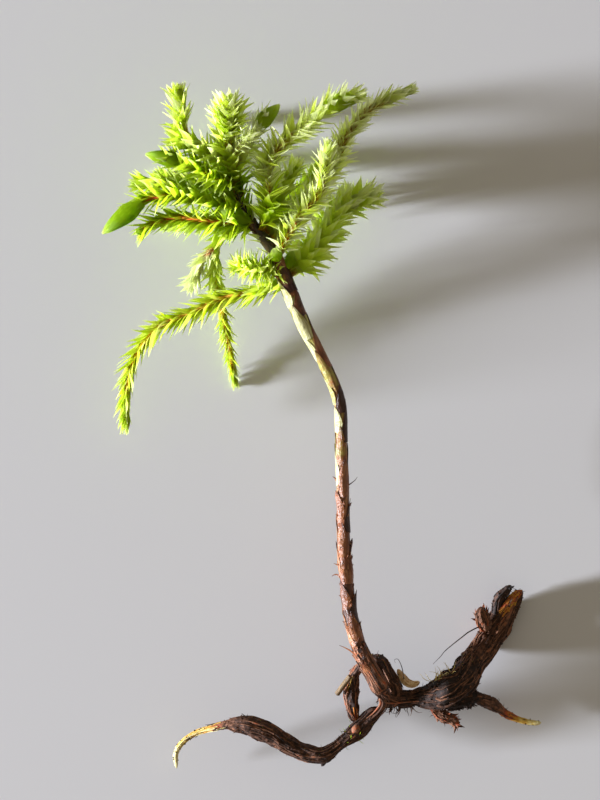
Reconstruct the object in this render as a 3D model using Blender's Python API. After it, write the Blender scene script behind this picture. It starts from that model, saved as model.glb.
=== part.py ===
"""A tree moss plant, picked whole and laid on its side on a flat surface.

A bare stem clad in scale leaves carries a palm-like crown of leafy shoots. Its foot stands on a knotted
rhizome with a thick arm, a runner and small roots. Lengths are in millimetres and are turned to metres when
a mesh is made. The surface is the plane z = 0, the crown points towards +Y, and the plant is seen from +Z.
"""
import math
import random

import bmesh
import bpy
import numpy as np
from mathutils import Vector, noise

MM = 0.001
PLANT = "tree_moss_plant"
SEED = 4

# Leafy shoots
TIER = 1.95           # from one ring of leaves to the next
CORE_SHARE = 0.6      # the leafy cylinder's radius, as a share of the leaf tips' reach
LEAN_SHARE = 0.5      # how far a leaf tip leans forwards, as a share of a tier
FOOT_RADIUS = 0.3     # a shoot where it leaves the stem
SHOOT_GAP = 0.15      # clear space kept between shoots
GIVE_WAY_STEP = 0.08  # a leaf that would press on a neighbour is drawn in by this share at a time
LEAST_SHARE = 0.12
LEAST_CLAIM = 0.4     # the space kept round a shoot's axis, also at its tip
WIDEST = 0.3          # where along a shoot its leaves stand widest

# Stem
STEM_SIDES = 8
SCALE_LENGTH = 2.4    # from one scale leaf's tip to the next
SCALE_LIP = 0.2       # how far a scale leaf's tip stands off the stem
STEM_GAP = 0.12       # clear space between the stem and a leaf
FOOT_GAP = 0.17       # and between the stem and the end of a shoot's axis
LEADER_RADIUS = 0.62  # the leafy axis that goes on from the stem, where side shoots leave it

# Rhizome and roots
ROOT_SIDES = 9
RING_GAP = 1.05       # from one ring of a root's surface to the next
LUMP_SIZE = 1.6       # width of one lump of soil
LUMP_DEPTH = 0.32     # its height, as a share of the root's radius

# x, y, z and radius
STEM = [
    (6.0, -26.2, 6.35, 0.85), (4.95, -24.4, 6.7, 0.82), (3.75, -22.2, 7.08, 0.78), (2.95, -19.4, 7.28, 0.74),
    (2.45, -16.2, 7.15, 0.72), (2.15, -12.2, 6.74, 0.7), (2.05, -8.2, 6.36, 0.68), (1.95, -4.2, 6.4, 0.64),
    (1.85, -0.7, 6.7, 0.62), (1.75, 2.0, 7.0, 0.62), (1.15, 4.2, 7.2, 0.62), (-0.15, 7.0, 7.5, 0.62),
    (-1.75, 10.0, 7.9, 0.62), (-2.95, 12.8, 8.3, 0.62), (-3.95, 15.3, 8.8, 0.6), (-5.05, 17.8, 9.4, 0.56),
    (-6.65, 19.8, 10.2, 0.5), (-7.95, 22.0, 11.0, 0.45), (-8.2, 22.9, 11.35, 0.4),
]

# Round buds grown on the stem: centre and radius
STEM_BUDS = [(-4.75, 17.2, 9.9, 0.62), (-3.35, 16.6, 9.1, 0.6), (-8.1, 21.1, 11.1, 0.7)]

RHIZOME_ARM = [
    (6.9, -26.8, 3.9, 0.9), (8.25, -27.0, 3.8, 0.85), (9.15, -26.9, 3.8, 0.78), (10.15, -26.8, 3.95, 1.0),
    (11.35, -26.5, 4.15, 1.4), (12.65, -26.0, 4.35, 1.72), (13.85, -25.0, 4.21, 1.55),
    (14.85, -23.6, 3.21, 1.3), (15.95, -22.2, 1.8, 1.25), (16.85, -20.8, 0.96, 1.25),
    (17.55, -19.6, 0.85, 1.3), (18.45, -18.3, 1.0, 1.0), (19.25, -17.1, 1.15, 0.65), (19.95, -16.2, 1.25, 0.25),
]
RHIZOME_KNOT = [
    (4.55, -22.7, 3.7, 0.5), (5.35, -23.5, 3.9, 1.0), (5.95, -24.6, 4.0, 1.2), (6.6, -25.8, 4.05, 1.3),
    (6.75, -26.8, 3.95, 1.15), (6.0, -27.7, 3.8, 0.75),
]
RHIZOME_SOIL = [
    (11.5, -27.0, 3.9, 0.7), (13.0, -27.05, 3.9, 0.95), (14.4, -26.9, 3.87, 0.9), (15.55, -26.9, 3.53, 0.6),
]
RHIZOME_STUB = [
    (16.5, -20.2, 1.8, 0.6), (16.0, -19.2, 2.82, 0.75), (15.8, -18.4, 3.22, 0.6), (15.8, -17.8, 3.32, 0.3),
]
RHIZOME_FORK = [
    (17.3, -18.9, 1.4, 0.5), (17.6, -17.2, 1.75, 0.5), (18.2, -16.4, 2.05, 0.45), (18.85, -15.7, 2.25, 0.2),
]
RUNNER = [
    (5.82, -27.9, 3.8, 0.68), (5.0, -28.6, 3.75, 0.72), (4.15, -29.4, 3.72, 0.75),
    (3.35, -30.2, 3.78, 0.85), (2.25, -31.1, 3.95, 0.6), (1.0, -32.1, 4.1, 0.6), (0.0, -32.6, 4.2, 0.75),
    (-1.5, -32.5, 4.17, 0.8), (-3.45, -31.6, 4.09, 0.9), (-5.2, -30.5, 4.2, 0.95), (-6.9, -29.8, 4.4, 0.95),
    (-8.2, -29.5, 4.4, 0.75), (-9.4, -29.5, 4.29, 0.45), (-10.8, -29.8, 3.95, 0.35),
    (-12.0, -30.15, 3.56, 0.27), (-13.2, -30.7, 3.08, 0.25), (-14.2, -31.6, 2.61, 0.25),
    (-14.65, -32.6, 2.2, 0.26), (-14.6, -33.6, 1.8, 0.16), (-14.55, -34.0, 1.65, 0.05),
]
RUNNER_TWIG = [(0.7, -32.4, 4.02, 0.4), (0.2, -33.1, 3.76, 0.35), (-0.1, -33.75, 3.57, 0.15)]
SIDE_ROOT = [
    (15.75, -27.0, 3.47, 0.58), (16.6, -27.4, 2.91, 0.72), (17.5, -27.9, 2.45, 0.6), (18.1, -28.4, 2.17, 0.42),
    (18.8, -28.8, 1.96, 0.38), (19.5, -29.1, 1.88, 0.34), (20.6, -29.35, 1.85, 0.3),
    (21.5, -29.45, 1.81, 0.26), (21.85, -29.4, 1.79, 0.1),
]
HANGING_ROOT = [
    (11.2, -28.35, 3.5, 0.35), (12.2, -28.72, 3.55, 0.58), (12.95, -29.1, 3.52, 0.5),
    (13.35, -29.55, 3.4, 0.3), (13.6, -29.85, 3.3, 0.1),
]
ROOT_STRAND = [
    (3.6, -23.5, 5.7, 0.25), (3.05, -24.5, 4.8, 0.4), (2.8, -25.5, 4.1, 0.5), (2.75, -26.5, 3.79, 0.6),
    (2.85, -27.6, 3.6, 0.6), (3.05, -28.6, 3.55, 0.4), (3.15, -28.95, 3.5, 0.2),
]
STRAW = [(1.45, -26.5, 4.3, 0.26), (2.05, -25.65, 4.9, 0.25), (2.75, -24.7, 5.5, 0.24)]
BARK = [
    (7.45, -24.0, 4.5, 0.2), (8.0, -24.85, 4.55, 0.34), (8.5, -25.4, 4.55, 0.36), (9.1, -25.55, 4.5, 0.32),
    (9.7, -25.3, 4.5, 0.18),
]

# Each shoot: its route (x, y, z), the reach of its leaf tips, leaves in a ring, length of its closed bud,
# the bud's radius and its colour
SHOOTS = {
    "branch_long_drooping": dict(
        route=[(-3.6, 14.3, 8.4), (-4.6, 14.2, 8.2), (-6.75, 13.6, 8.0), (-9.75, 13.0, 7.6),
               (-12.65, 11.7, 7.0), (-16.15, 10.1, 6.2), (-18.55, 7.3, 5.4), (-19.55, 3.5, 4.6),
               (-19.45, -0.1, 3.9)],
        reach=1.6, leaves=6, bud=2.4, bud_radius=0.42, colour="leaf_mid"),
    "branch_hanging": dict(
        route=[(-6.9, 20.0, 10.0), (-8.3, 19.9, 9.6), (-9.7, 19.2, 9.2), (-10.5, 17.9, 8.5),
               (-10.75, 15.8, 6.6), (-10.45, 13.6, 4.5), (-10.05, 11.8, 3.4), (-9.65, 9.8, 2.5),
               (-9.15, 7.0, 1.3), (-8.65, 4.1, 0.25)],
        reach=1.25, leaves=5, bud=2.2, bud_radius=0.36, colour="leaf_bright"),
    "branch_pale_tuft": dict(
        route=[(-4.3, 15.6, 8.9), (-5.6, 15.75, 9.2), (-6.6, 15.9, 9.3), (-7.8, 16.0, 9.0),
               (-9.0, 15.9, 8.2)],
        reach=1.9, leaves=6, bud=1.0, bud_radius=0.6, colour="leaf_bright"),
    "branch_pale_blade": dict(
        route=[(-11.2, 17.5, 9.0), (-12.0, 16.6, 8.2), (-12.75, 14.8, 6.8), (-13.45, 13.7, 5.8)],
        reach=1.1, leaves=5, bud=1.4, bud_radius=0.35, colour="leaf_bright"),
    "branch_left_lower": dict(
        route=[(-7.0, 20.5, 10.5), (-9.15, 20.4, 10.9), (-11.95, 20.6, 11.0), (-14.25, 20.9, 10.7),
               (-16.45, 20.5, 10.3), (-18.55, 19.3, 9.6)],
        reach=2.1, leaves=6, bud=1.4, bud_radius=0.5, colour="leaf_mid"),
    "branch_left_bud": dict(
        route=[(-7.85, 22.2, 11.1), (-9.25, 22.2, 11.5), (-11.95, 22.7, 12.0), (-14.55, 23.05, 12.2),
               (-16.15, 22.9, 12.1), (-17.55, 22.6, 11.9), (-19.75, 21.0, 11.4), (-21.85, 19.3, 10.7)],
        reach=1.9, leaves=6, bud=5.0, bud_radius=0.72, colour="leaf_mid"),
    "branch_left_upper": dict(
        route=[(-8.3, 23.3, 11.0), (-9.6, 23.4, 10.2), (-13.25, 24.0, 9.8), (-16.25, 24.2, 9.6),
               (-19.05, 24.2, 9.2)],
        reach=1.9, leaves=6, bud=1.4, bud_radius=0.45, colour="leaf_mid"),
    "branch_pointed_bud": dict(
        route=[(-8.75, 24.5, 12.3), (-9.9, 24.7, 13.0), (-11.05, 25.1, 13.6), (-12.85, 25.9, 13.9),
               (-15.05, 26.6, 13.9), (-17.55, 27.1, 13.4)],
        reach=1.9, leaves=6, bud=3.6, bud_radius=0.7, colour="leaf_dark"),
    "branch_top_left": dict(
        route=[(-9.1, 26.2, 13.0), (-10.3, 26.7, 13.3), (-11.8, 27.5, 13.3), (-13.3, 28.3, 13.2),
               (-13.9, 30.0, 13.3), (-14.25, 32.0, 13.3), (-14.25, 34.0, 13.2)],
        reach=1.75, leaves=6, bud=1.8, bud_radius=0.6, colour="leaf_bright"),
    "leader_shoot": dict(
        route=[(-8.27, 23.1, 11.45), (-8.65, 24.5, 12.0), (-9.15, 26.8, 13.2), (-9.35, 28.9, 14.3),
               (-9.25, 31.0, 15.1), (-9.05, 33.1, 15.5)],
        reach=2.45, leaves=7, bud=1.8, bud_radius=0.55, widest=0.66, core=0.3, colour="leaf_bright"),
    "branch_small_bright": dict(
        route=[(-8.7, 27.4, 13.9), (-7.9, 28.2, 14.6), (-7.1, 28.9, 15.0), (-6.4, 29.6, 15.1)],
        reach=1.05, leaves=5, bud=1.0, bud_radius=0.45, colour="leaf_bright"),
    "branch_dark_bud": dict(
        route=[(-8.8, 26.0, 12.4), (-7.45, 28.0, 12.9), (-6.05, 30.2, 13.7), (-4.25, 32.0, 14.4)],
        reach=1.7, leaves=5, bud=3.2, bud_radius=0.7, colour="leaf_dark"),
    "branch_top_middle": dict(
        route=[(-6.0, 20.0, 10.7), (-5.45, 21.5, 11.3), (-5.35, 23.5, 12.1), (-5.35, 25.8, 13.0),
               (-4.2, 27.8, 13.9), (-2.65, 29.1, 14.6), (0.75, 31.8, 15.4), (4.35, 33.0, 15.6)],
        reach=2.0, leaves=6, bud=3.0, bud_radius=0.7, colour="leaf_mid"),
    "branch_right_front": dict(
        route=[(-4.2, 17.4, 9.5), (-3.9, 18.1, 10.1), (-2.45, 20.7, 11.6), (-0.35, 23.3, 13.1),
               (0.25, 26.3, 14.4), (0.75, 28.5, 15.0)],
        reach=1.85, leaves=6, bud=1.4, bud_radius=0.5, colour="leaf_bright"),
    "branch_right_long": dict(
        route=[(-4.9, 18.9, 9.0), (-3.25, 20.4, 9.0), (-1.25, 22.8, 9.6), (1.0, 26.0, 10.8),
               (1.75, 27.8, 11.7), (2.6, 29.2, 12.5), (4.65, 31.5, 13.7), (9.25, 33.7, 14.6)],
        reach=1.95, leaves=6, bud=3.4, bud_radius=0.45, colour="leaf_mid"),
    "branch_right_broad": dict(
        route=[(-3.3, 15.4, 8.4), (-2.6, 16.1, 7.9), (-0.6, 18.3, 6.2), (1.75, 21.6, 3.5),
               (5.55, 23.5, 1.25)],
        reach=2.3, leaves=7, bud=1.6, bud_radius=0.5, colour="leaf_dark"),
    "branch_inner": dict(
        route=[(-5.6, 19.6, 9.2), (-5.0, 21.3, 8.9), (-4.25, 23.0, 9.0), (-3.25, 25.0, 9.2),
               (-2.25, 26.6, 9.4)],
        reach=2.0, leaves=6, bud=1.4, bud_radius=0.5, colour="leaf_dark"),
    "branch_under_right": dict(
        route=[(-5.6, 19.0, 9.0), (-4.2, 21.0, 6.6), (-2.2, 23.4, 4.0), (-0.6, 25.4, 1.8),
               (0.8, 27.0, 0.3)],
        reach=1.5, leaves=6, bud=1.6, bud_radius=0.45, colour="leaf_dark"),
    "branch_under_left": dict(
        route=[(-7.6, 20.9, 10.0), (-9.6, 20.8, 8.4), (-11.8, 20.6, 5.9), (-14.0, 20.5, 3.0),
               (-16.0, 20.3, 0.3)],
        reach=1.5, leaves=6, bud=1.6, bud_radius=0.45, colour="leaf_dark"),
    "branch_under_top": dict(
        route=[(-8.6, 24.6, 11.4), (-9.0, 26.0, 8.8), (-9.4, 28.2, 5.0), (-9.7, 30.6, 0.3)],
        reach=1.5, leaves=6, bud=1.6, bud_radius=0.45, colour="leaf_dark"),
    "branch_under_back": dict(
        route=[(-7.9, 22.0, 10.4), (-9.4, 22.6, 8.4), (-12.0, 23.6, 6.0), (-14.6, 24.6, 3.2),
               (-16.8, 25.4, 0.3)],
        reach=1.5, leaves=6, bud=1.6, bud_radius=0.45, colour="leaf_dark"),
}

# base colour, roughness, metallic
COLOURS = {
    "leaf_bright": ((0.45, 0.62, 0.09, 1.0), 0.5, 0.0),
    "leaf_mid": ((0.26, 0.42, 0.03, 1.0), 0.5, 0.0),
    "leaf_dark": ((0.13, 0.24, 0.01, 1.0), 0.5, 0.0),
    "stem": ((0.28, 0.17, 0.08, 1.0), 0.45, 0.0),
    "rhizome": ((0.05, 0.025, 0.012, 1.0), 0.8, 0.0),
    "root_tip": ((0.6, 0.42, 0.12, 1.0), 0.5, 0.0),
    "straw": ((0.42, 0.3, 0.14, 1.0), 0.6, 0.0),
}


class Course:
    """A smooth line through hand-chosen points, with a side and an up direction carried along it."""

    def __init__(self, points, step=0.1):
        points = [np.array(p, float) for p in points]
        ends = [2 * points[0] - points[1]] + points + [2 * points[-1] - points[-2]]
        rows = []
        for a, b, c, d in zip(ends, ends[1:], ends[2:], ends[3:]):
            for k in range(24):
                t = k / 24
                rows.append(0.5 * (2 * b + (c - a) * t + (2 * a - 5 * b + 4 * c - d) * t**2
                                   + (3 * b - a - 3 * c + d) * t**3))
        rows = np.array(rows + [points[-1]])
        lengths = np.concatenate([[0], np.cumsum(np.linalg.norm(np.diff(rows[:, :3], axis=0), axis=1))])
        self.length = lengths[-1]
        self.stations = np.linspace(0, self.length, max(8, int(self.length / step)))
        columns = [np.interp(self.stations, lengths, column) for column in rows.T]
        self.rows = np.stack(columns, 1)
        self.carry()

    def carry(self):
        """Side and up directions that turn with the line and never twist about it."""
        along = np.gradient(self.rows[:, :3], axis=0)
        self.along = along / np.linalg.norm(along, axis=1)[:, None]
        up = np.array([0.0, 0.0, 1.0])
        ups = []
        for direction in self.along:
            up = up - direction * (up @ direction)
            up = up / np.linalg.norm(up)
            ups.append(up)
        self.up = np.array(ups)
        self.side = np.cross(self.along, self.up)

    def cut_before(self, index):
        """Drops the line's start up to a station."""
        self.rows = self.rows[index:]
        self.stations = self.stations[index:] - self.stations[index]
        self.length = self.stations[-1]
        self.carry()

    def at(self, station):
        """The row of values, and the side and up directions, at a distance from the start."""
        index = int(np.clip(np.searchsorted(self.stations, station), 0, len(self.stations) - 1))
        row = self.rows[index].copy()
        row[:3] += self.along[index] * (station - self.stations[index])
        return row, self.side[index], self.up[index]


def around(course, station, radius, angle):
    """A point at an angle and a distance from the line."""
    point, side, up = course.at(station)
    return point[:3] + (side * math.cos(angle) + up * math.sin(angle)) * radius


def loft(name, rings, first, last, colour):
    """A closed skin over rings of equal count, pointed at both ends, and flat where it meets the surface."""
    count = len(rings[0])
    origin = Vector(first) * MM
    shape = bmesh.new()

    def corner(point):
        return shape.verts.new(Vector((point[0], point[1], max(point[2], 0.0))) * MM - origin)

    rows = [[corner(point) for point in ring] for ring in rings]
    start = shape.verts.new((0, 0, 0))
    end = shape.verts.new(Vector(last) * MM - origin)
    for i in range(count):
        j = (i + 1) % count
        shape.faces.new((start, rows[0][j], rows[0][i]))
        shape.faces.new((end, rows[-1][i], rows[-1][j]))
        for low, high in zip(rows, rows[1:]):
            shape.faces.new((low[i], low[j], high[j], high[i]))
    bmesh.ops.recalc_face_normals(shape, faces=shape.faces)
    bmesh.ops.triangulate(shape, faces=shape.faces)
    return place(name, shape, origin, colour)


def place(name, shape, origin, colour):
    """Makes the named object from a bmesh, on its origin, under the plant's empty."""
    mesh = bpy.data.meshes.new(name)
    shape.to_mesh(mesh)
    shape.free()
    mesh.materials.append(bpy.data.materials[colour])
    mesh.set_sharp_from_angle(angle=math.radians(40))
    piece = bpy.data.objects.new(name, mesh)
    piece.location = origin
    piece.parent = bpy.data.objects[PLANT]
    bpy.data.collections[PLANT].objects.link(piece)
    return piece


def make_colours():
    for name, (colour, roughness, metallic) in COLOURS.items():
        material = bpy.data.materials.new(name)
        material.use_nodes = True
        shader = material.node_tree.nodes["Principled BSDF"]
        shader.inputs["Base Color"].default_value = colour
        shader.inputs["Roughness"].default_value = roughness
        shader.inputs["Metallic"].default_value = metallic
        material.diffuse_color = colour


def soft_step(value):
    value = min(max(value, 0.0), 1.0)
    return value * value * (3 - 2 * value)


def fullness(spec, share):
    """How wide the leaves stand at a share of the shoot's length: narrow foot, full middle, slim tip."""
    widest = spec.get("widest", WIDEST)
    past = max(0.0, (share - widest) / (1 - widest))
    return (0.55 + 0.45 * soft_step(share / widest)) * (1 - 0.6 * past * past)


def leaf_claim(spec, share):
    """The space that a shoot's leaves ask for, as a distance from its axis."""
    return max(LEAST_CLAIM, spec["reach"] * fullness(spec, share))


def off_stem(stem_rows, point):
    """How far a point is from the outside of the stem, its scale leaves and its buds."""
    widths = stem_rows[:, 3] * (1 + SCALE_LIP)
    return (np.linalg.norm(stem_rows[:, :3] - point, axis=1) - widths).min()


class Crowd:
    """The axes of all the shoots, and the stem with its buds: each leaf keeps clear of its neighbours."""

    def __init__(self, courses, stem_rows):
        points, claims, owners = [], [], []
        for name, course in courses.items():
            for station, row in zip(course.stations[::3], course.rows[::3]):
                points.append(row[:3])
                claims.append(leaf_claim(SHOOTS[name], station / course.length))
                owners.append(name)
        self.points = np.array(points)
        self.claims = np.array(claims)
        self.owners = np.array(owners)
        self.stem_rows = stem_rows

    def clear(self, name, axis_point, point, claim):
        if off_stem(self.stem_rows, point) < STEM_GAP:
            return False
        others = self.owners != name
        apart = np.linalg.norm(self.points[others] - point, axis=1) - SHOOT_GAP
        own = np.linalg.norm(point - axis_point) / claim
        return own <= (apart / self.claims[others]).min()

    def drawn_in(self, name, axis_point, point, claim):
        """The point, drawn towards its own axis until it is clear."""
        share = 1.0
        while share > LEAST_SHARE:
            trial = axis_point + (point - axis_point) * share
            if self.clear(name, axis_point, trial, claim):
                return trial
            share -= GIVE_WAY_STEP
        return axis_point + (point - axis_point) * LEAST_SHARE


def leafy_shoot(name, course, crowd):
    """Rings of leaf tips that lean forwards on a tapering core, each ring half a step round from the last."""
    spec = SHOOTS[name]
    chance = random.Random(f"{SEED} {name}")
    bud = spec["bud"]
    corners = 2 * spec["leaves"]
    leafy = course.length - bud
    tiers = max(2, round(leafy / TIER))
    tier = leafy / tiers
    twist = chance.uniform(0, math.pi)
    angles = [twist + math.tau * i / corners for i in range(corners)]

    def ring(stations, radii):
        points = []
        for angle, station, radius in zip(angles, stations, radii):
            axis_point = course.at(station)[0][:3]
            claim = leaf_claim(spec, station / course.length)
            points.append(crowd.drawn_in(name, axis_point, around(course, station, radius, angle), claim))
        return points

    rings = [ring([0.08] * corners, [FOOT_RADIUS] * corners)]
    for k in range(tiers):
        low, high = (k + 0.35) * tier, (k + 0.78) * tier
        wide = spec["reach"] * fullness(spec, high / course.length)
        core = max(FOOT_RADIUS, spec.get("core", CORE_SHARE) * wide)
        rings.append(ring([low] * corners, [core] * corners))
        tips = [(i + k) % 2 == 0 for i in range(corners)]
        rings.append(ring(
            [high + LEAN_SHARE * tier if tip else high for tip in tips],
            [wide * chance.uniform(0.84, 1.0) if tip else core * 0.92 for tip in tips]))
    for share, swell in ((0.12, 0.8), (0.4, 1.0), (0.72, 0.66)):
        station = leafy + bud * share
        rings.append(ring([station] * corners, [spec["bud_radius"] * swell] * corners))
    first, last = course.rows[0, :3], course.rows[-1, :3]
    return loft(name, rings, first, last, spec["colour"])


def lumpy_root(name, route, colour, sides=ROOT_SIDES, depth=LUMP_DEPTH, ring_gap=RING_GAP):
    """A root or rhizome stretch: round rings along its route, roughened into lumps of soil and bark."""
    course = Course(route)
    rings = []
    count = max(2, round(course.length / ring_gap))
    for k in range(count + 1):
        station = course.length * (0.02 + 0.96 * k / count)
        radius = course.at(station)[0][3]
        row = []
        for i in range(sides):
            point = around(course, station, radius, math.tau * (i + 0.5 * (k % 2)) / sides)
            lump = noise.noise(Vector(point) / LUMP_SIZE * 2)
            row.append(around(course, station, radius * (1 + depth * lump), math.tau * i / sides))
        rings.append(row)
    return loft(name, rings, course.rows[0, :3], course.rows[-1, :3], colour)


def scaly_stem(course):
    """The stem as one skin: each scale leaf widens to a lip on one side, then the next begins below it."""
    rings = []
    count = round(course.length / SCALE_LENGTH)
    for k in range(count):
        facing = k * math.radians(137.5)
        for share, lip in ((0.04, 0.0), (0.96, 1.0)):
            station = course.length * (k + share) / count
            radius = course.at(station)[0][3]
            row = []
            for i in range(STEM_SIDES):
                angle = math.tau * i / STEM_SIDES
                toward = max(0.0, math.cos(angle - facing))
                row.append(around(course, station, radius * (0.97 + SCALE_LIP * lip * toward), angle))
            rings.append(row)
    return loft("stem", rings, course.rows[0, :3], course.rows[-1, :3], "stem")


def bud_ball(name, centre, radius):
    """A round bud, a little longer than it is wide."""
    ball = bmesh.new()
    bmesh.ops.create_uvsphere(ball, u_segments=7, v_segments=5, radius=radius * MM)
    bmesh.ops.scale(ball, vec=(0.9, 1.15, 0.9), verts=ball.verts)
    return place(name, ball, Vector(centre) * MM, "leaf_mid")


def grow_on(target, pieces):
    """Joins pieces to the one that they grew from. They stay in a collection of joining shapes."""
    for piece in pieces:
        union = target.modifiers.new("grown_" + piece.name, "BOOLEAN")
        union.operation = "UNION"
        union.solver = "EXACT"
        union.object = piece
        piece.hide_render = True
        piece.display_type = "WIRE"
        bpy.data.collections[PLANT].objects.unlink(piece)
        bpy.data.collections["joining_shapes"].objects.link(piece)


def build():
    for item in list(bpy.data.objects):
        bpy.data.objects.remove(item)
    for name in (PLANT, "joining_shapes"):
        bpy.context.scene.collection.children.link(bpy.data.collections.new(name))
    base = bpy.data.objects.new(PLANT, None)
    bpy.data.collections[PLANT].objects.link(base)
    make_colours()

    stem_course = Course(STEM)
    stem = scaly_stem(stem_course)
    grow_on(stem, [bud_ball(f"stem_bud_{i + 1}", (x, y, z), r) for i, (x, y, z, r) in enumerate(STEM_BUDS)])

    courses = {name: Course(spec["route"]) for name, spec in SHOOTS.items()}
    stem_rows = np.vstack([stem_course.rows, STEM_BUDS])
    leader = courses["leader_shoot"].rows
    leader_rows = np.hstack([leader, np.full((len(leader), 1), LEADER_RADIUS)])
    for name, course in courses.items():
        carriers = stem_rows if name == "leader_shoot" else np.vstack([stem_rows, leader_rows])
        gaps = [off_stem(carriers, row[:3]) for row in course.rows]
        course.cut_before(next(i for i, gap in enumerate(gaps) if gap > FOOT_GAP))
    crowd = Crowd(courses, stem_rows)
    for name, course in courses.items():
        leafy_shoot(name, course, crowd)

    rhizome = lumpy_root("rhizome", RHIZOME_ARM, "rhizome")
    grow_on(rhizome, [
        lumpy_root("rhizome_knot", RHIZOME_KNOT, "rhizome"),
        lumpy_root("rhizome_soil", RHIZOME_SOIL, "rhizome"),
        lumpy_root("rhizome_stub", RHIZOME_STUB, "rhizome", sides=8),
        lumpy_root("rhizome_fork", RHIZOME_FORK, "rhizome", sides=8),
    ])
    runner = lumpy_root("left_runner", RUNNER, "rhizome", sides=8, ring_gap=1.0)
    grow_on(runner, [lumpy_root("runner_twig", RUNNER_TWIG, "rhizome", sides=6)])
    lumpy_root("side_root", SIDE_ROOT, "root_tip", sides=8)
    lumpy_root("hanging_root", HANGING_ROOT, "rhizome", sides=8)
    lumpy_root("root_strand", ROOT_STRAND, "rhizome", sides=8)
    lumpy_root("straw_bit", STRAW, "straw", sides=6, depth=0.0, ring_gap=1.5)
    lumpy_root("bark_bit", BARK, "straw", sides=8, depth=0.1)


build()
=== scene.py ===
# %% [markdown]
# # A picked tree moss plant
# Tree moss grows like a palm: a bare stem wrapped in small scale leaves lifts a crown of leafy shoots, and
# its foot stands on a dark creeping rootstock. This one was picked and laid on its side on a pale surface.
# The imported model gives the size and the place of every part. This script dresses it: each solid shoot is
# replaced by an axis with its leaves, and the stem and the roots get their scales, fibres and soil.

# %% Load the frame
import math
import random

import bmesh
import bpy
import numpy as np
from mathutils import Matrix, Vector, noise


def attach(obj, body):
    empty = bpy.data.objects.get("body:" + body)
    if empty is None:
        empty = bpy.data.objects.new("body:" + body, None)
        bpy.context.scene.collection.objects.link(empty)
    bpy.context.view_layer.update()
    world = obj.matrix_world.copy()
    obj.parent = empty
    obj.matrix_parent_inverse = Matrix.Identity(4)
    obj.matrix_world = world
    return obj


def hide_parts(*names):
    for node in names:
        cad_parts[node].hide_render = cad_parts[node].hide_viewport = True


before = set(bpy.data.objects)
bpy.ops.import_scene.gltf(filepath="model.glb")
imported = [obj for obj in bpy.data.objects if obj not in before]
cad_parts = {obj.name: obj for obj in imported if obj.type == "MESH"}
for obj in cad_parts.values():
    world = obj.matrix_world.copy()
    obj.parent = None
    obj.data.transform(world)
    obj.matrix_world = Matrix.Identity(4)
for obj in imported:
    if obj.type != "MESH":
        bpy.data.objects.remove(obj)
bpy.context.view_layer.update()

MM = 0.001
print("nodes in the frame:", len(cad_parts))

# %% [markdown]
# ## Colour and material helpers
# Colours are picked as sRGB hex values, the way a colour picker gives them, and shaders want linear
# numbers, so one function turns them. Another adds a node with its settings and links, so that each
# material reads as a short list of what it does.

# %% Helpers for materials
def linear(code):
    """An sRGB hex colour as linear numbers."""
    shares = [int(code[i:i + 2], 16) / 255 for i in (1, 3, 5)]
    return [s / 12.92 if s <= 0.04045 else ((s + 0.055) / 1.055) ** 2.4 for s in shares] + [1.0]


def add_node(tree, kind, settings=None, links=None, ramp=None):
    """A node of a kind, with settings by property or socket name and links from other sockets."""
    node = tree.nodes.new("ShaderNode" + kind)
    for name, value in (settings or {}).items():
        if isinstance(name, str) and hasattr(node, name):
            setattr(node, name, value)
        else:
            node.inputs[name].default_value = value
    for name, socket in (links or {}).items():
        tree.links.new(socket, node.inputs[name])
    if ramp:
        stops = node.color_ramp.elements
        while len(stops) < len(ramp):
            stops.new(0.5)
        for stop, (place, code) in zip(stops, ramp):
            stop.position = place
            stop.color = linear(code) if isinstance(code, str) else (code, code, code, 1.0)
    return node


def new_material(name):
    """An empty material: its node tree and its output node."""
    material = bpy.data.materials.new(name)
    material.use_nodes = True
    tree = material.node_tree
    tree.nodes.clear()
    return material, tree, add_node(tree, "OutputMaterial")


# %% [markdown]
# ## The surface
# The plant lies on a plain pale surface, like a matt laminate table top. It is there for the picture only,
# so it doesn't ride on the plant's body as the pieces do.

# %% Pale surface
SURFACE_HALF = 2.0            # metres from its middle to its edge, far outside the picture

stage_shape = bmesh.new()
bmesh.ops.create_grid(stage_shape, x_segments=1, y_segments=1, size=SURFACE_HALF)
floor_mesh = bpy.data.meshes.new("pale_surface")
stage_shape.to_mesh(floor_mesh)
stage_shape.free()
floor = bpy.data.objects.new("pale_surface", floor_mesh)
floor_material, tree, output = new_material("pale laminate")
shader = add_node(tree, "BsdfPrincipled", {"Base Color": linear("#DADADC"), "Roughness": 0.75})
tree.links.new(shader.outputs[0], output.inputs[0])
floor_mesh.materials.append(floor_material)
bpy.context.scene.collection.objects.link(floor)
print("surface:", 2 * SURFACE_HALF, "m wide")

# %% [markdown]
# ## The light
# A window lights the plant from low on the left, so soft shadows run to the right, left sides shine and
# right sides fall dark. A sun would draw hard shadows and a high lamp short ones. This is a small area
# light over a metre away, nine degrees above the surface. A dim warm surround fills the shadows.

# %% Window and surround
VIEW_CENTRE = Vector((-2.25, 2.8, 0)) * MM
WINDOW_DISTANCE = 1.3
WINDOW_LIFT = math.radians(9)
WINDOW_TURN = math.radians(8)
WINDOW_WIDTH = 0.14
WINDOW_HEIGHT = 0.2
WINDOW_POWER = 62
WINDOW_COLOUR = "#F0F4FF"
FILL_COLOUR = "#F2E4CC"
FILL_POWER = 0.31

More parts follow.
